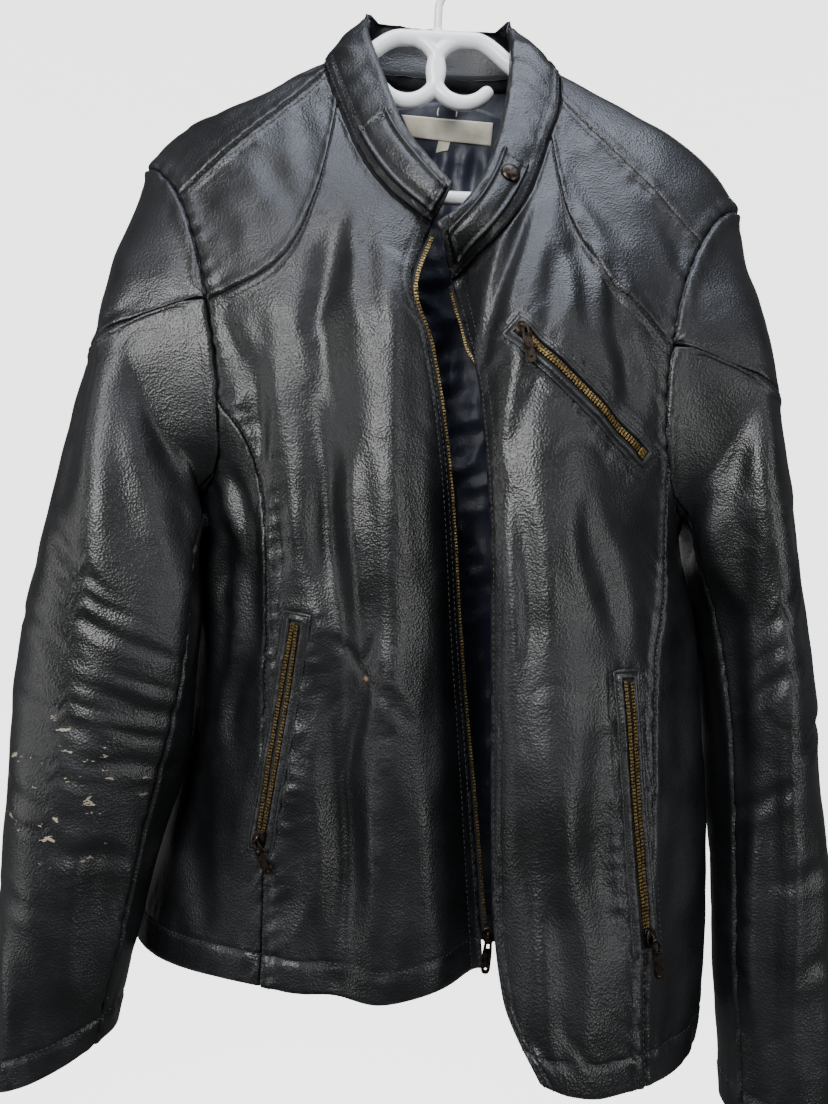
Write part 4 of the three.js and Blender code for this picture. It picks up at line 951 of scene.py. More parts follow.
def side_panel(side):
    s, t = shares(200), shares(400, end=HEM_STEPS)
    theta = np.interp(s, [0, 1 / 6, 5 / 6, 1], [side["princess"], UNDER_FROM, UNDER_TO, side["back_side"]])
    place = armhole(side, theta)
    top = np.stack([place["phi"], place["drop"]], -1)
    first = turn_pairs(side["princess_line"](t))
    last = back_side_pairs(side, t)
    bottom = mix(first[-1], last[-1], s[:, None])
    pairs = coons(top, bottom, first, last, s, t)
    base, normals = skin(pairs[..., 0], pairs[..., 1])
    edges = edges_of(top="armhole", first="sewn", last="sewn", bottom="hem")
    name = f"side_panel_{side['name']}"
    cloth(f"{name}_leather", name, base, normals, body_relief(base), edges, "back")


def back_yoke():
    s, t = shares(430), shares(210)
    steps = 16
    at = np.interp(s, [5 / steps, 11 / steps], [LEFT["neck_shoulder"], RIGHT["neck_shoulder"]])
    nx, nd, nb = neck(at)
    left = LEFT["shoulder_line"](1 - np.clip(s * steps / 5, 0, 1))
    right = RIGHT["shoulder_line"](np.clip((s - 11 / steps) * steps / 5, 0, 1))
    on_left, on_right = s < 5 / steps, s > 11 / steps
    x = np.where(on_left, left[:, 0], np.where(on_right, right[:, 0], nx))
    drop = np.where(on_left, left[:, 1], np.where(on_right, right[:, 1], nd))
    top = over_pairs(x, drop, nb & ~on_left & ~on_right)
    seam = back_yoke_line(s)
    bottom = over_pairs(seam[:, 0], seam[:, 1], np.ones(len(s), bool))
    sides = []
    for side in (LEFT, RIGHT):
        theta = np.interp(t, [0, 1 / 3, 1], [side["shoulder"], 0, side["back_yoke"] - 360])
        place = armhole(side, theta)
        sides.append(over_pairs(place["x"], place["drop"], place["back"]))
    pairs = coons(top, bottom, sides[0], sides[1], s, t)
    base, normals = over_shoulder(pairs[..., 0], pairs[..., 1])
    edges = edges_of(top="sewn", bottom="sewn", first="armhole", last="armhole")
    cloth("back_yoke_leather", "back_yoke", base, normals, body_relief(base), edges, "back")


def back_pairs(phi, drop):
    return np.stack([np.where(phi < 0, -180 - phi, 180 - phi), drop], -1)


def back_body():
    s, t = shares(380, spacing=BACK_GRID), shares(500, end=HEM_STEPS, spacing=BACK_GRID)
    steps = 20
    left = armhole(LEFT, np.interp(s, [0, 2 / steps], [LEFT["back_side"], LEFT["back_yoke"]]))
    right = armhole(RIGHT, np.interp(s, [1 - 2 / steps, 1], [RIGHT["back_yoke"], RIGHT["back_side"]]))
    seam = back_yoke_line(np.clip((s - 2 / steps) / (16 / steps), 0, 1))
    seam = back_pairs(angle_at(seam[:, 0], seam[:, 1], np.ones(len(s), bool)), seam[:, 1])
    on_left, on_right = (s < 2 / steps)[:, None], (s > 1 - 2 / steps)[:, None]
    top = np.where(on_left, back_pairs(left["phi"], left["drop"]),
                   np.where(on_right, back_pairs(right["phi"], right["drop"]), seam))
    first, last = (back_pairs(*back_side_pairs(side, t).T) for side in (LEFT, RIGHT))
    bottom = mix(first[-1], last[-1], s[:, None])
    pairs = coons(top, bottom, first, last, s, t)
    base, normals = on_back_turn(pairs[..., 0], pairs[..., 1])
    at_arm = 1 - smooth(s, 0.095, 0.105) + smooth(s, 0.895, 0.905)
    edges = edges_of(
        top=[("armhole", at_arm), ("band", 1 - at_arm)], first="band", last="band", bottom="hem",
    )
    cloth("back_body_leather", "back_body", base, normals, body_relief(base), edges, "back")


# ---------------------------------------------------------------- sleeves
def sleeve_lines(side, theta):
    """One smooth line down the sleeve for each angle."""
    start = armhole(side, theta)["point"]
    turn = np.radians(theta)
    out, fore = np.cos(turn), np.sin(turn)
    lapped = np.where((fore > 0) & (out < 0), (2 * out * fore) ** 2, 0)
    values = [start]
    for _, out_x, out_drop, in_x, in_drop, front, back, lap in side["sleeve"]:
        x = mix(in_x, out_x, 0.5 + out / 2) - side["sign"] * lap * lapped
        y, drop = mix(back, front, 0.5 + fore / 2), mix(in_drop, out_drop, 0.5 + out / 2)
        values.append(np.stack([x, y, -drop], -1))
    keys = [0] + [ring[0] for ring in side["sleeve"]]
    tracks = [track(keys, np.array(values)[..., axis]) for axis in range(3)]
    return lambda along: np.stack([one(along) for one in tracks], -1)


def sleeve_surface(side, theta, along):
    """Points and outward normals for a row of angles and a grid of shares of the length."""
    here, ahead, behind = (sleeve_lines(side, theta + turn) for turn in (0, 1, -1))
    points = here(along)
    down = here(np.minimum(1, along + 0.01)) - here(np.maximum(0, along - 0.01))
    own = unit(np.cross(ahead(along) - behind(along), down)) * side["sign"]
    near_start = np.full_like(along, 0.05)
    early = here(near_start + 0.01) - here(near_start - 0.01)
    at_seam = unit(np.cross(ahead(near_start) - behind(near_start), early)) * side["sign"]
    body = armhole(side, theta)["normal"][None]
    facing = (body * at_seam).sum(-1, keepdims=True) < 0
    shared = np.where(facing, own, unit(body + at_seam))
    blend = np.minimum(1, along / 0.05)[..., None]
    return points, unit(mix(shared, own, blend))


def cap_seam(side, theta):
    """How far down the sleeve the cap reaches at each angle, and how much of it is there."""
    first, last = side["back_yoke"] - 360, side["yoke"]
    inside = (theta >= first - 1e-6) & (theta <= last + 1e-6)
    ends = smooth(last - theta, 0, 10) * smooth(theta - first, 0, 10)
    level = armhole(side, last)["drop"]
    goal = mix(level, side["cap_drop"], np.maximum(0, np.cos(np.radians(theta))) ** 0.5)
    lines = sleeve_lines(side, theta)
    low, high = np.zeros((1, len(theta))), np.full((1, len(theta)), 0.5)
    for _ in range(30):
        middle = (low + high) / 2
        above = -lines(middle)[..., 2] < goal
        low, high = np.where(above, middle, low), np.where(above, high, middle)
    return np.where(inside, np.maximum(high[0] * ends, CAP_END), 0), smooth(ends, 0.05, 0.4)


def sleeve_part(side, name, theta, along, **kinds):
    """A sleeve's panel over a row of angles; kinds says what its edges do."""
    base, normals = sleeve_surface(side, theta, along)
    relief = sleeve_relief(side, theta[None], along, base)
    relief = relief * smooth(along, 0.0, 0.04)
    cloth(f"{name}_leather", name, base, normals, relief, edges_of(**kinds), "front")


def turn_between(start, end, spacing_degrees):
    """Angles from a seam to the next, closer together at both."""
    inner = np.linspace(start + 8, end - 8, int((end - start - 16) / spacing_degrees) + 1)
    rim = np.array([0, 0.7, 1.5, 2.4, 3.6, 5.4])
    return np.concatenate([start + rim, inner, end - rim[::-1]])


def sleeves(side):
    name = side["name"]
    theta = turn_between(side["back_yoke"] - 360, side["yoke"], 2.6)
    seam, _ = cap_seam(side, theta)
    down = shares(120)[:, None] * seam[None]
    sleeve_part(side, f"sleeve_cap_{name}", theta, down, top="armhole", bottom="sewn")
    theta = turn_between(UNDER_TO - 360, UNDER_FROM, 3.0)
    seam, capped = cap_seam(side, theta)
    t = shares(560, end=HEM_STEPS, spacing=SLEEVE_GRID)[:, None]
    sleeve_part(side, f"sleeve_upper_{name}", theta, mix(seam[None], 1, t),
                top=[("armhole", 1 - capped), ("band", capped)], first="sewn", last="sewn", bottom="hem")
    theta = turn_between(UNDER_FROM, UNDER_TO, 3.0)
    t = shares(430, end=HEM_STEPS, spacing=SLEEVE_GRID)[:, None]
    sleeve_part(side, f"sleeve_under_{name}", theta, np.repeat(t, len(theta), axis=1),
                top="armhole", first="sewn", last="sewn", bottom="hem")


# ---------------------------------------------------------------- collar
COLLAR_GAP = 1.0


def neck_seam(at):
    """Places on the body along the neckline, and the body's normals there."""
    x, drop, back = neck(at)
    front, front_out = section(np.where(x < BODY["opening"](drop), -1, 1), True, x, drop)
    behind, behind_out = on_back(x, drop)
    back = back[..., None]
    return np.where(back, behind, front), np.where(back, behind_out, front_out)


def collar_skin(at, height, lift=0.0):
    """The standing collar: along the neckline, and up from it by share of its height."""
    at, height = np.broadcast_arrays(at, height)
    start = neck_seam(at)[0]
    along = neck_seam(np.minimum(NECK_END, at + 0.1))[0] - neck_seam(np.maximum(0, at - 0.1))[0]
    rise = np.stack([top_x(at), top_y(at), -top_drop(at)], -1) - start
    normal = unit(np.cross(rise, along))
    length = np.linalg.norm(rise, axis=-1)
    span = COLLAR_GAP + (length - COLLAR_GAP) * height
    crown = 3 * np.sin(np.pi * height) + lift
    return start + rise * (span / length)[..., None] + normal * crown[..., None], normal


def collar_piece(kind, begin, end, low, high, lift, thickness, relief=0.5, **kinds):
    edges = edges_of(**kinds)
    at = mix(begin, end, shares((end - begin) * 26, spacing=2.6))[None]
    rim = EDGE_STEPS[:7]
    height = mix(low, high, shares((high - low) * 44, start=rim, end=rim, spacing=2.4))[:, None]
    base, normals = collar_skin(at, height, lift)
    bumps = relief * (waves(base, 26, 21) + 0.6 * waves(base, 14, 22))
    distance = edge_distances(base)
    wear_and_sheen = np.zeros(bumps.shape)
    for edge, rules in edges.items():
        for rule, _ in rules:
            pucker = puckers(distance["first" if edge in ("top", "bottom") else "top"], distance[edge], 8.0)
            bumps = bumps + edge_profile(rule, distance[edge], pucker)
            wear_and_sheen = np.maximum(wear_and_sheen, np.exp(-((distance[edge] - 0.8) / 1.4) ** 2) * (rule == "zip"))
    points = base + normals * bumps[..., None]
    piece = shell(f"collar_{kind}_leather", points, normals, thickness, [MATERIALS["leather"]] * 2, wear_and_sheen)
    add_stitches("front", points, normals, distance, edges)
    declare(piece, [f"collar_{kind}"])


def collar():
    collar_piece("outer", 0, NECK_END, 0, 1, 0, 1.5, bottom="sewn", top="zip", first="zip", last="zip")
    collar_piece("facing", 0, NECK_END, 0, 1, -1.9, 1.3, bottom="sewn", top="sewn")
    rolled = {edge: "rolled" for edge in ("top", "bottom", "first", "last")}
    collar_piece("tab", 0.1, 2.3, 0.15, 0.86, 3.4, 3.0, 0.2, **rolled)
    collar_piece("channel", 11.75, 13.8, 0.2, 0.84, 2.2, 2.2, 0.2, **rolled)


def neck_tape():
    """The piped tape that covers the neck seam inside."""
    at = np.linspace(0, NECK_END, 220)
    foot, up = collar_skin(at, np.zeros(len(at)))
    higher, _ = collar_skin(at, np.full(len(at), 0.12))
    start, out = neck_seam(at)
    along = unit(np.gradient(start, axis=0))
    down = np.cross(along, out)
    down = down * -np.sign((down * (higher - foot)).sum(-1, keepdims=True))
    rows = [start + down * 6 - out * 2.6, start + down * 2 - out * 3.2, start - (out + up) * 1.7,
            mix(foot, higher, 0.5) - up * 4.0, higher - up * 3.9]
    points = np.stack(rows)
    normals = np.stack([out, out, unit(out + up), up, up])
    piece = shell("neck_tape_cloth", points, normals, 0.8, [MATERIALS["tape"]] * 2)
    declare(piece, [], "zip_tape")


# ---------------------------------------------------------------- repeated pieces along paths
def strung_tree(name, form):
    """Solids set along paths, standing square to the surface that the paths lie on."""
    tree = bpy.data.node_groups.new(name, "GeometryNodeTree")
    sockets = {}
    kinds = [("Paths", "Geometry"), ("Pitch", "Float"), ("Height", "Float"), ("Width", "Float"),
             ("Length", "Float"), ("Material", "Material")]
    for label, kind in kinds:
        socket = tree.interface.new_socket(label, in_out="INPUT", socket_type=f"NodeSocket{kind}")
        sockets[label] = socket.identifier
    tree.interface.new_socket("Solids", in_out="OUTPUT", socket_type="NodeSocketGeometry")
    given = add(tree, "NodeGroupInput").outputs
    curve = add(tree, "GeometryNodeMeshToCurve", {"Mesh": given["Paths"]})
    dots = add(tree, "GeometryNodeCurveToPoints", {
        "Curve": curve.outputs[0], "Length": given["Pitch"],
    }, mode="LENGTH")
    out = add(tree, "GeometryNodeInputNamedAttribute", {"Name": "out"}, data_type="FLOAT_VECTOR")
    along = add(tree, "FunctionNodeAlignRotationToVector", {"Vector": dots.outputs["Tangent"]}, axis="Z")
    square = add(tree, "FunctionNodeAlignRotationToVector", {
        "Rotation": along.outputs[0], "Vector": out.outputs[0],
    }, axis="X", pivot_axis="Z")
    if form == "stitch":
        solid = add(tree, "GeometryNodeMeshIcoSphere", {"Radius": 0.5, "Subdivisions": 1})
    else:
        solid = add(tree, "GeometryNodeMeshCube", {"Size": (1.0, 1.0, 1.0)})
    size = add(tree, "ShaderNodeCombineXYZ", {
        "X": given["Height"], "Y": given["Width"], "Z": given["Length"],
    })
    placed = add(tree, "GeometryNodeInstanceOnPoints", {
        "Points": dots.outputs["Points"], "Instance": solid.outputs["Mesh"],
        "Rotation": square.outputs[0], "Scale": size.outputs[0],
    })
    whole = add(tree, "GeometryNodeRealizeInstances", {"Geometry": placed.outputs[0]})
    shaded = add(tree, "GeometryNodeSetShadeSmooth", {
        "Geometry": whole.outputs[0], "Shade Smooth": form == "stitch",
    })
    finished = add(tree, "GeometryNodeSetMaterial", {
        "Geometry": shaded.outputs[0], "Material": given["Material"],
    })
    output = add(tree, "NodeGroupOutput")
    tree.links.new(finished.outputs[0], output.inputs[0])
    return tree, sockets


TREES = {form: strung_tree(f"set_{form}", form) for form in ("stitch", "tooth")}


def strung(name, runs, form, pitch, size, material, slot):
    """One mesh of stitches or teeth along runs of (place, outward direction)."""
    vertices, edges, outs = [], [], []
    for run in runs:
        start = len(vertices)
        vertices += [place for place, _ in run]
        outs += [out for _, out in run]
        edges += [(k, k + 1) for k in range(start, len(vertices) - 1)]
    mesh = bpy.data.meshes.new(f"{name}_paths")
    mesh.from_pydata((np.array(vertices) * MM).tolist(), edges, [])
    layer = mesh.attributes.new("out", "FLOAT_VECTOR", "POINT")
    layer.data.foreach_set("vector", np.array(outs, np.float32).ravel())
    carrier = linked(f"{name}_carrier", mesh)
    tree, sockets = TREES[form]
    modifier = carrier.modifiers.new("set", "NODES")
    modifier.node_group = tree
    values = {"Pitch": pitch * MM, "Height": size[0] * MM, "Width": size[1] * MM, "Length": size[2] * MM,
              "Material": material}
    for label, value in values.items():
        modifier[sockets[label]] = value
    enrol(linked(name, evaluated(carrier)), slot)


# ---------------------------------------------------------------- zips
TAPE_UNDER, TAPE_BEYOND, TAPE_WALL = 4.0, 6.5, 0.8
TAPE_REACHES = (TAPE_UNDER, 1.0, -2.0, -4.5, -TAPE_BEYOND)     # across the tape, from under the leather
FRONT_ZIP_END = 0.93                                           # how far down the front its zip runs
FOLD_FROM, FOLD_TO, FOLD_WIDTH = 338, 372, 9.5                 # where the right front folds over its tape
TOOTH_PITCH = 2.3


def lapped_strip(name, node_name, rows, thickness, material, slot):
    """A strip from rows of (place, outward direction) across its width."""
    points = np.array([[place for place, _ in row] for row in rows], float)
    normals = np.array([[out for _, out in row] for row in rows], float)
    piece = shell(name, points, normals, thickness, [material, material])
    declare(piece, [node_name], slot)


def front_zip(side, points, normals):
    """The tape and teeth beyond a front's edge. The right front folds over its own, below the neck."""
    rows, teeth = [], []
    stop = int(len(points) * FRONT_ZIP_END)
    inwards = unit(points[:, 8] - points[:, 2])
    for j in range(0, stop, 2):
        edge, out = points[j, 2], normals[j, 2]
        tucked = float(smooth(-edge[2], FOLD_FROM, FOLD_TO)) if side is RIGHT else 0.0
        behind = edge - out * (LEATHER + 0.9 + 1.2 * tucked) + inwards[j] * FOLD_WIDTH * tucked
        rows.append([(behind + inwards[j] * reach, out) for reach in TAPE_REACHES])
        teeth.append((behind - inwards[j] * (TAPE_BEYOND - 1.2) - out * 0.4, out))
    node = f"zip_tape_{side['name']}"
    lapped_strip(f"{node}_cloth", node, rows, TAPE_WALL, MATERIALS["tape"], "zip_tape")
    return teeth[3:-2]


ZIPS = [
    dict(name="front_zip", sign=-1, x=66, drop=764, along=(0.1, 1), lift=1.2, tilt=4),
    dict(name="pocket_left_zip", sign=-1, x=-99, drop=699, along=(-0.11, 1), lift=5.4, tilt=-28),
    dict(name="pocket_right_zip", sign=1, x=164, drop=738, along=(0.09, 1), lift=5.4, tilt=-8),
    dict(name="pocket_chest_zip", sign=1, x=66, drop=338, along=(-0.76, -0.65), lift=5.4, tilt=-14),
]
SLIDER_WIDTH, SLIDER_LENGTH, SLIDER_HEIGHT = 8.0, 11.0, 3.4
PULL_LENGTH, PULL_WALL = 25.0, 1.4


def bevelled(name, outline, depth, rim, place, *nodes, body=GARMENT, material="dark", holes=()):
    """A stamped plate with rounded rims: an outline in x and y, thickened along z, then placed."""
    curve = bpy.data.curves.new(name, "CURVE")
    curve.dimensions = "2D"
    curve.fill_mode = "BOTH"
    curve.extrude = (depth / 2 - rim) * MM
    curve.bevel_depth = rim * MM
    curve.bevel_resolution = 2
    material = MATERIALS[material]
    for ring in (outline, *holes):
        spline = curve.splines.new("POLY")
        spline.points.add(len(ring) - 1)
        for point, (x, y) in zip(spline.points, ring):
            point.co = (x * MM, y * MM, 0, 1)
        spline.use_cyclic_u = True
    mesh = evaluated(linked(f"{name}_outline", curve))
    mesh.transform(place)
    mesh.materials.clear()
    mesh.materials.append(material)
    smooth_shaded(mesh)
    enrol(linked(name, mesh), "dark_metal", *nodes, body=body)


def basis(x_axis, y_axis, z_axis, origin):
    rows = [[*column] for column in zip(x_axis, y_axis, z_axis)]
    matrix = Matrix([[*row, value * MM] for row, value in zip(rows, origin)] + [[0, 0, 0, 1]])
    return matrix


def rounded(points, radius, steps=4):
    """Rounds an outline's corners."""
    out = []
    count = len(points)
    for k in range(count):
        before, here, after = (np.array(points[(k + d) % count], float) for d in (-1, 0, 1))
        arm = min(radius, np.linalg.norm(before - here) / 2.2, np.linalg.norm(after - here) / 2.2)
        a, b = here + unit(before - here) * arm, here + unit(after - here) * arm
        for step in range(steps + 1):
            t = step / steps
            out.append(tuple((1 - t) ** 2 * a + 2 * t * (1 - t) * here + t * t * b))
    return out


def circle(cx, cy, radius, count=14):
    turns = [2 * math.pi * k / count for k in range(count)]
    return [(cx + radius * math.cos(turn), cy + radius * math.sin(turn)) for turn in turns]


HALF, LENGTH = SLIDER_WIDTH / 2, SLIDER_LENGTH / 2
SLIDER_PLATE = [
    (-HALF, 1), (-HALF * 0.72, -LENGTH), (HALF * 0.72, -LENGTH), (HALF, 1),
    (HALF * 0.55, LENGTH), (-HALF * 0.55, LENGTH),
]
SLIDER_NECK = [(-1.6, 0), (-1.6, LENGTH - 0.6), (1.6, LENGTH - 0.6), (1.6, 0)]
SLIDER_BRIDGE = [
    (-3.6, 0), (-3.0, 1.6), (-1.2, 2.2), (1.2, 2.2), (3.0, 1.6), (3.6, 0),
    (2.4, 0), (1.8, 0.9), (-1.8, 0.9), (-2.4, 0),
]
PULL_TAB = [
    (-2.0, 0.9), (2.0, 0.9), (3.0, -10), (3.0, 3 - PULL_LENGTH), (1.9, -PULL_LENGTH),
    (-1.9, -PULL_LENGTH), (-3.0, 3 - PULL_LENGTH), (-3.0, -10),
]
PULL_SLOT = [(-1.0, -1.0), (1.0, -1.0), (1.5, -7.5), (-1.5, -7.5)]


def zip_hardware(zip_row):
    """A slider of two plates, a neck and a bridge, and the pull that swings under the bridge."""
    sign, x, drop = zip_row["sign"], zip_row["x"], zip_row["drop"]
    at = on_front(sign)
    point, normal = at(np.array(x, float), np.array(drop, float))
    ahead = at(np.array(x + zip_row["along"][0]), np.array(drop + zip_row["along"][1]))[0] - point
    y_axis = unit(ahead - normal * np.dot(ahead, normal))
    x_axis = unit(np.cross(y_axis, normal))
    foot = point + normal * (zip_row["lift"] - 1.6)
    name = zip_row["name"]
    for k, height in enumerate((0.9, 3.3)):
        bevelled(f"{name}_slider_plate_{k}", rounded(SLIDER_PLATE, 1.6), 1.5, 0.4,
                 basis(x_axis, y_axis, normal, foot + normal * height), *[f"{name}_slider"] * k)
    bevelled(f"{name}_slider_neck", rounded(SLIDER_NECK, 0.6), 3.0, 0.3,
             basis(x_axis, y_axis, normal, foot + normal * 2.1))
    bevelled(f"{name}_slider_bridge", rounded(SLIDER_BRIDGE, 0.4, 2), 2.0, 0.4,
             basis(y_axis, normal, x_axis, foot + normal * 3.9))
    tilt = math.radians(zip_row["tilt"])
    pin = point + normal * (zip_row["lift"] + SLIDER_HEIGHT + 2.2)
    down = np.array([-math.sin(tilt), 0, -math.cos(tilt)])
    across = np.array([math.cos(tilt), 0, -math.sin(tilt)])
    place = basis(across, -down, np.cross(across, -down), pin + np.array([0, -1.0, 0]))
    holes = (circle(0, 3.2 - PULL_LENGTH, 1.3), rounded(PULL_SLOT, 0.8))
    bevelled(f"{name}_pull_tab", rounded(PULL_TAB, 1.8), PULL_WALL, 0.35, place, f"{name}_pull",
             body=f"{name}_pull", holes=holes)


WELT_STITCH = 2.6               # from the welt's outer edge to the stitches round it
# across the welt from its outer foot to its inner one: half width, height over the panel, rub and painted
# highlight on crests
WELT_SECTION = [
    (10.6, -1.2, 0), (10.4, 0.2, 0), (9.9, 0.9, 0.5), (9.0, 1.0, 0.2), (8.3, 0.5, 0), (7.8, 0.6, 0),
    (7.2, 1.7, 0.3), (6.4, 2.6, 0.8), (5.5, 2.8, 0.9), (4.7, 2.5, 0.5), (4.1, 1.7, 0.2), (3.8, 0.6, 0),
    (3.9, -1.0, 0),
]


def pocket(row, zipped, teeth_rows):
    start, end = np.array(row["start"], float), np.array(row["end"], float)
    length = float(np.linalg.norm(end - start))
    along = (end - start) / length
    across = np.array([along[1], -along[0]])
    at = relieved(on_front(row["sign"]))

    def place(u, v, height):
        pair = start + along * u + across * v
        points, normals = at(pair[0], pair[1])
        return points + normals * height, normals

    loops = []
    for half, height, _ in WELT_SECTION:
        inset = WELT_OUTER - half
        us = np.linspace(inset, length - inset, 50)
        us = np.concatenate([us, us[::-1]])
        vs = np.concatenate([np.full(50, half), np.full(50, -half)])
        pairs = start[None] + along[None] * us[:, None] + across[None] * vs[:, None]
        points, normals = at(pairs[:, 0], pairs[:, 1])
        swell = 0.25 * waves(points, 13, 31)
        loops.append(points + normals * (height + swell * (height > 1))[:, None])
    loops = np.array(loops)
    count, around = loops.shape[:2]
    index = np.arange(count * around).reshape(count, around)
    nxt = np.roll(index, -1, axis=1)
    after = np.roll(index, -1, axis=0)
    faces = np.stack([index, nxt, np.roll(after, -1, axis=1), after], -1).reshape(-1, 4)
    # lighter on the welt's crests: a painted highlight, with rubbed wear
    wear_and_sheen = np.repeat([[rub_and_sheen] for _, _, rub_and_sheen in WELT_SECTION], around, axis=1)
    name = row["name"]
    piece = mesh_object(f"{name}_welt_leather", loops.reshape(-1, 3), faces.tolist(),
                        [MATERIALS["leather"]], None, {"wear_and_sheen": wear_and_sheen})
    enrol(recalculate(piece), "leather", f"{name}_welts")
    # stitched round just outside the welt
    border, far = WELT_OUTER + WELT_STITCH, length + WELT_STITCH
    ring = [(u, border) for u in np.linspace(-WELT_STITCH, far, 60)]
    ring += [(far, v) for v in np.linspace(border, -border, 10)[1:]]
    ring += [(u, -border) for u in np.linspace(far, -WELT_STITCH, 60)[1:]]
    ring += [(-WELT_STITCH, v) for v in np.linspace(-border, border, 10)[1:]]
    stitches["front"].append([place(u, v, THREAD_LIFT) for u, v in ring])
    # tape under the slot, and the rows of teeth on it
    margin = WELT_OUTER - WELT_INNER + 1
    rows = [[place(u, v, 0.5) for v in np.linspace(-TAPE_HALF, TAPE_HALF, 5)]
            for u in np.linspace(margin - 2, length - margin + 2, 60)]
    lapped_strip(f"{name}_tape_cloth", f"{name}_tape", rows, 0.7, MATERIALS["tape"], "zip_tape")
    for side_of, shift in ((-1, 0), (1, TOOTH_PITCH / 2)):
        zipped.append([place(u, side_of * teeth_rows(u / length), 1.9)
                       for u in np.linspace(margin + 1 + shift, length - margin - 1, 60)])


def end_stop(row, u):
    """The metal block that closes the foot of a zip."""
    start, end = np.array(row["start"], float), np.array(row["end"], float)
    along = (end - start) / np.linalg.norm(end - start)
    at = relieved(on_front(row["sign"]))
    point, normal = at(*(start + along * u))
    ahead = at(*(start + along * (u + 1)))[0] - point
    y_axis = unit(ahead - normal * np.dot(ahead, normal))
    outline = rounded([(-3.0, -2.7), (3.0, -2.7), (3.0, 2.7), (-3.0, 2.7)], 0.8)
    bevelled(f"{row['name']}_zip_end_stop", outline, 2.2, 0.4,
             basis(np.cross(y_axis, normal), y_axis, normal, point + normal * 1.9), material="brass")


# ---------------------------------------------------------------- snap, lining, labels, loop
SNAP_AT, SNAP_HEIGHT = 12.1, 0.5
# from the cap's crown to its foot: radius, height over the collar
SNAP_PROFILE = [
    (0, 3.0), (2.4, 2.9), (4.4, 2.6), (6.0, 2.1), (7.0, 1.4), (7.3, 0.6), (7.2, -1.0), (0, -1.0),
]


def snap():
    point, normal = collar_skin(np.array(SNAP_AT), np.array(SNAP_HEIGHT), 4.2)
    side_axis = unit(np.cross(normal, [0, 0, 1]))
    up_axis = np.cross(normal, side_axis)
    count = 36
    vertices = [point + normal * SNAP_PROFILE[0][1]]
    for radius, height in SNAP_PROFILE[1:-1]:
        for k in range(count):
            turn = 2 * math.pi * k / count
            spoke = side_axis * math.cos(turn) + up_axis * math.sin(turn)
            vertices.append(point + normal * height + radius * spoke)
    vertices.append(point + normal * SNAP_PROFILE[-1][1])
    faces = []
    rings = len(SNAP_PROFILE) - 2
    for k in range(count):
        m = (k + 1) % count
        faces.append((0, 1 + k, 1 + m))
        for ring in range(rings - 1):
            a, b = 1 + ring * count, 1 + (ring + 1) * count
            faces.append((a + k, b + k, b + m, a + m))
        last = 1 + (rings - 1) * count
        faces.append((last + m, last + k, len(vertices) - 1))
    piece = mesh_object("collar_snap_cap", np.array(vertices), faces, [MATERIALS["dark"]])
    enrol(recalculate(piece), "dark_metal", "collar_snap")


def lining_skin(x_turn, drop):
    """The satin across the back, gathered under the label and pleated lower down."""
    base, normals = on_back_turn(np.broadcast_to(x_turn, drop.shape), drop)
    x = base[..., 0]
    under_label = smooth(drop, 142, 160)
    gather = np.sin(2 * np.pi * (x + 3 * np.sin(drop / 23)) / 17.0)
    gather = gather * np.exp(-(drop - 140) / 120) * 2.4 * under_label
    pleats = 2.2 * np.sin(2 * np.pi * (x + 6 * np.sin(drop / 90)) / 58.0) * smooth(drop, 200, 420)
    crumple = (1.4 * waves(base, 42, 41) + 0.8 * waves(base, 20, 42)) * (0.25 + 0.75 * under_label)
    creases = -1.8 * dent(waves(base, 60, 43), 0, 0.3) * under_label
    return base - normals * (LINING_INSET - gather - pleats - crumple - creases)[..., None], normals


def lining():
    reach = 58.0
    s, t = np.linspace(0, 1, 150), np.linspace(0, 1, 200)
    psi = mix(-reach, reach, s)[None]
    top = 112 + 60 * (psi / reach) ** 2
    points, normals = lining_skin(psi, mix(top, 780, t[:, None]))
    piece = shell("back_lining_satin", points, normals, 0.8, [MATERIALS["satin"]] * 2)
    declare(piece, ["back_lining"], "satin")


def label(name, node_name, corners, stand, thickness):
    """A bare label stitched to the lining, from its four corners: x and drop."""
    top_left, top_right, low_right, low_left = (np.array(corner, float) for corner in corners)
    s, t = np.linspace(0, 1, 36)[None, :, None], np.linspace(0, 1, 14)[:, None, None]
    pairs = mix(mix(top_left, top_right, s), mix(low_left, low_right, s), t)
    turn = angle_at(pairs[..., 0], pairs[..., 1], np.ones(pairs.shape[:2], bool))
    base, normals = lining_skin(back_pairs(turn, pairs[..., 1])[..., 0], pairs[..., 1])
    swell = 0.35 * waves(base, 34, 51) + 0.12 * waves(base, 12, 52)
    points = base - normals * (stand + swell)[..., None]
    piece = shell(name, points, -normals, thickness, [MATERIALS["label"]] * 2)
    declare(piece, [node_name], "label_cloth")


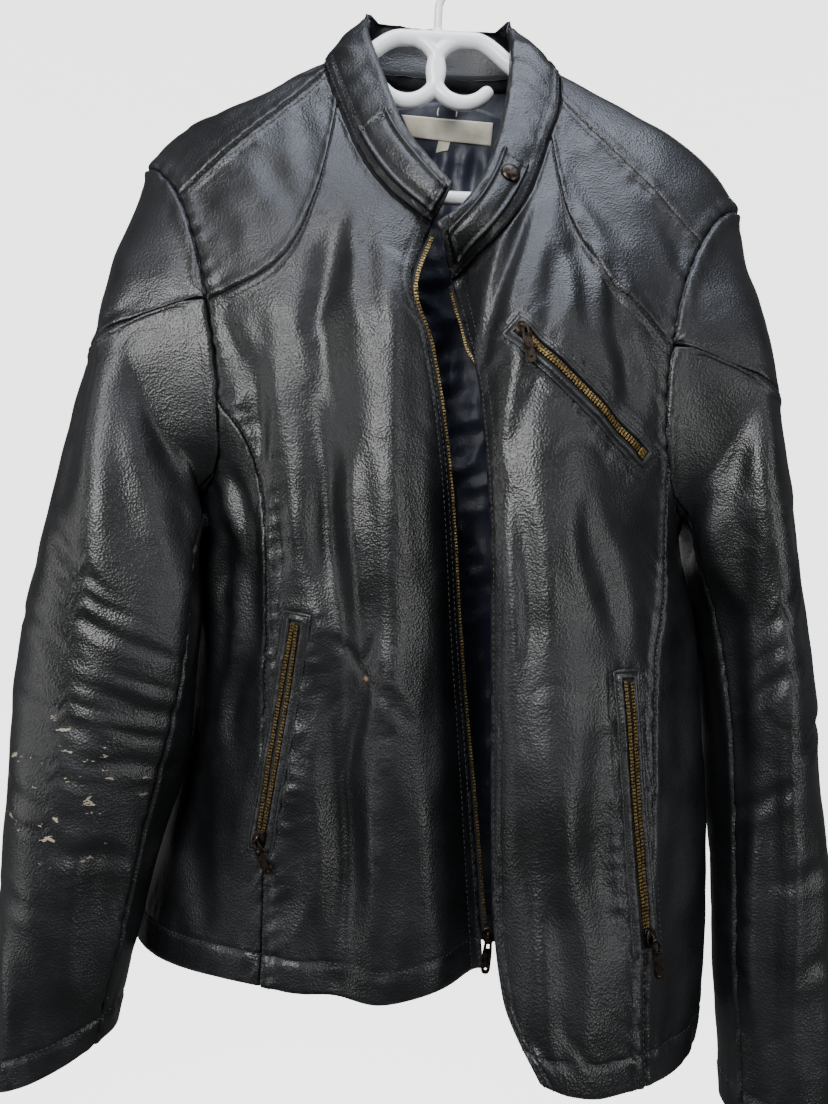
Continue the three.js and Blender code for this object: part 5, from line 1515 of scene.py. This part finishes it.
def swept(path, radius, sides=12, rounded_ends=False):
    """A round rod along a path; returns vertices and faces."""
    path = np.asarray(path, float)
    radii = np.full(len(path), float(radius))
    if rounded_ends:
        turns = np.radians([12, 35, 60])
        for end, inner in ((0, 1), (-1, -2)):
            beyond = unit(path[end] - path[inner])
            caps = [path[end] + beyond * radius * math.sin(turn) for turn in turns]
            shrunk = radius * np.cos(turns)
            path = np.concatenate([caps[::-1], path]) if end == 0 else np.concatenate([path, caps])
            radii = np.concatenate([shrunk[::-1], radii]) if end == 0 else np.concatenate([radii, shrunk])
    tangents = unit(np.gradient(path, axis=0))
    side_axis = unit(np.cross(tangents[0], [0.0, 1.0, 0.02]))
    vertices, faces = [], []
    for point, tangent, reach in zip(path, tangents, radii):
        side_axis = unit(side_axis - tangent * np.dot(side_axis, tangent))
        other = np.cross(tangent, side_axis)
        for k in range(sides):
            turn = 2 * math.pi * k / sides
            vertices.append(point + reach * (side_axis * math.cos(turn) + other * math.sin(turn)))
    for j in range(len(path) - 1):
        for k in range(sides):
            a, b = j * sides + k, j * sides + (k + 1) % sides
            faces.append((a, b, b + sides, a + sides))
    faces.append(tuple(range(sides))[::-1])
    faces.append(tuple((len(path) - 1) * sides + k for k in range(sides)))
    return vertices, faces


def smooth_path(points, count):
    points = np.asarray(points, float)
    keys = np.concatenate([[0], np.cumsum(np.linalg.norm(np.diff(points, axis=0), axis=1))])
    at = np.linspace(0, keys[-1], count)
    return np.stack([track(keys, points[:, axis])(at) for axis in range(3)], -1)


LOOP_RADIUS, LOOP_CORD = 8.0, 0.55


def hanging_loop():
    """The fine cord ring that stands up behind the label's top edge."""
    anchor, inwards = on_back(np.array(11.0), np.array(125.0))
    foot = anchor - inwards * (LINING_INSET + 1.6)
    turns = np.radians(np.linspace(200, -20, 24))
    ring = [LOOP_RADIUS * np.cos(turns), -1.5 + 0 * turns, 5.0 + LOOP_RADIUS * np.sin(turns)]
    vertices, faces = swept(foot + np.stack(ring, -1), LOOP_CORD, 8)
    piece = mesh_object("hanging_loop_cord", np.array(vertices), faces, [MATERIALS["label"]])
    enrol(recalculate(piece), "label_cloth")


# ---------------------------------------------------------------- hanger
HANGER_TUBE, HOOK_ROD, HOOK_INNER, CURL = 6.5, 3.4, 19.0, 24.7
ARM = [(0, 84), (28, 84), (58, 102), (92, 133), (142, 157), (186, 183), (200, 198), (190, 209)]
BAR_DROP, BAR_HALF = 209.0, 192


def arc_points(cx, cz, radius, start, end, count):
    return [(cx + radius * math.cos(math.radians(a)), 0, cz + radius * math.sin(math.radians(a)))
            for a in np.linspace(start, end, count)]


def hanger():
    vertices, faces = [], []
    rods = []
    for sign in (-1, 1):
        rods.append((smooth_path([(sign * x, 0, -drop) for x, drop in ARM], 60), HANGER_TUBE))
        start, end = (110, 318) if sign > 0 else (70, -138)
        rods.append((arc_points(sign * 22.5, -109, CURL, start, end, 48), HANGER_TUBE - 0.4))
    bar = [(x, 0, -BAR_DROP) for x in (-BAR_HALF, 0, BAR_HALF)]
    rods.append((smooth_path(bar, 40), HANGER_TUBE - 1))
    ring = HOOK_INNER + HOOK_ROD
    hook = [(0, 0, -84), (0, 0, -60), (3, 0, -50)] + arc_points(0, -HOOK_INNER, ring, -50, 200, 20)
    rods.append((smooth_path(hook, 90), HOOK_ROD))
    for path, radius in rods:
        new_vertices, new_faces = swept(path, radius, 20, True)
        base = len(vertices)
        vertices += new_vertices
        faces += [tuple(base + k for k in face) for face in new_faces]
    carrier = recalculate(mesh_object("hanger_rods", np.array(vertices), faces, [MATERIALS["plastic"]]))
    remesh = carrier.modifiers.new("weld", "REMESH")
    remesh.mode = "VOXEL"
    remesh.voxel_size = 1.3 * MM
    soften = carrier.modifiers.new("soften", "SMOOTH")
    soften.iterations = 4
    moulding = evaluated(carrier)
    moulding.materials.clear()
    moulding.materials.append(MATERIALS["plastic"])
    smooth_shaded(moulding)
    enrol(linked("hanger_moulding", moulding), "white_plastic", "hanger")


# ---------------------------------------------------------------- stage, light and camera
SENSOR = 36
CAMERA_PLACE, CAMERA_ROLL, FOCAL = (0.0, -0.750, -0.490), 2.6, 948 / 1104 * SENSOR
# a pale floor far below that sweeps up into a pale wall all round: radius, height, in metres
SWEEP = [(0, -1.7), (1.6, -1.7), (2.2, -1.66), (2.7, -1.5), (3.0, -1.1), (3.05, 0), (3.05, 5.0)]


def camera():
    data = bpy.data.cameras.new("camera")
    data.sensor_fit = "AUTO"
    data.sensor_width = SENSOR
    data.lens = FOCAL
    seen_from = linked("camera", data)
    facing = Matrix(((1, 0, 0), (0, 0, -1), (0, 1, 0))).to_4x4()
    seen_from.matrix_world = (
        Matrix.Translation(CAMERA_PLACE) @ facing @ Matrix.Rotation(math.radians(CAMERA_ROLL), 4, "Z")
    )
    bpy.context.scene.camera = seen_from


def lamp(name, place, target, size, power, colour):
    data = bpy.data.lights.new(name, "AREA")
    data.shape = "RECTANGLE"
    data.size, data.size_y = size
    data.energy = power
    data.color = colour[:3]
    light = linked(name, data)
    light.location = place
    light.rotation_euler = (Vector(target) - Vector(place)).to_track_quat("-Z", "Y").to_euler()


def stage():
    world = bpy.data.worlds.new("studio")
    world.use_nodes = True
    background = world.node_tree.nodes["Background"]
    background.inputs["Color"].default_value = srgb("f4f6f8")
    background.inputs["Strength"].default_value = 0.16
    bpy.context.scene.world = world
    count = 64
    vertices = [(x, y, z / MM) for r, z in SWEEP[1:] for x, y in circle(0, 0, r / MM, count)]
    vertices.append((0, 0, SWEEP[0][1] / MM))
    faces = []
    for ring in range(len(SWEEP) - 2):
        for k in range(count):
            a, b = ring * count + k, ring * count + (k + 1) % count
            faces.append((a, b, b + count, a + count))
    faces += [((k + 1) % count, k, len(vertices) - 1) for k in range(count)]
    sweep = mesh_object("studio_sweep", np.array(vertices), faces, [stage_material()])
    sweep.visible_shadow = False
    sweep.visible_diffuse = False
    sweep.visible_glossy = False
    lamp("window", (-0.7, -1.9, 0.45), (0, 0, -0.45), (0.8, 1.3), 60, srgb("ffffff"))
    lamp("sky", (0.15, -0.5, 1.25), (0, 0, -0.3), (1.5, 0.8), 34, srgb("e6edff"))
    lamp("strip_right", (1.5, -1.5, -0.3), (0.1, 0, -0.5), (0.35, 1.7), 16, srgb("ffffff"))
    lamp("strip_left", (-1.8, -0.5, -0.5), (-0.1, 0, -0.5), (0.35, 1.7), 10, srgb("ffffff"))
    lamp("fill_back", (0.4, 1.7, 0.3), (0, 0, -0.45), (1.3, 1.1), 44, srgb("ffffff"))


# ---------------------------------------------------------------- assembly
camera()
stage()
zipped = []
for side in (LEFT, RIGHT):
    points, normals = front_panel(side)
    zipped.append(front_zip(side, points, normals))
    front_yoke(side)
    side_panel(side)
    sleeves(side)
back_yoke()
back_body()
collar()
neck_tape()
pocket(POCKETS[0], zipped, lambda q: 1.0 + 1.7 * math.sin(math.pi * min(1, q * 1.02)) ** 0.7)
pocket(POCKETS[1], zipped, lambda q: 2.6 - 1.6 * q)
pocket(POCKETS[2], zipped, lambda q: 0.85)
end_stop(POCKETS[2], 127.0)
for row in ZIPS:
    zip_hardware(row)
strung("zip_teeth", zipped, "tooth", TOOTH_PITCH, (1.5, 2.9, 1.35), MATERIALS["brass"], "dark_metal")
snap()
lining()
label("neck_label_cloth", "neck_label", ((-28, 123), (51, 126), (50, 144), (-19, 140)), 2.2, 0.6)
label("size_tag_cloth", "size_tag", ((5, 141), (15, 141), (13, 149), (3, 151)), 1.7, 0.5)
hanging_loop()
hanger()
for group, runs in stitches.items():
    strung(f"{group}_stitching", runs, "stitch", 4.1, (0.7, 0.8, 3.3), MATERIALS["thread"], "leather")
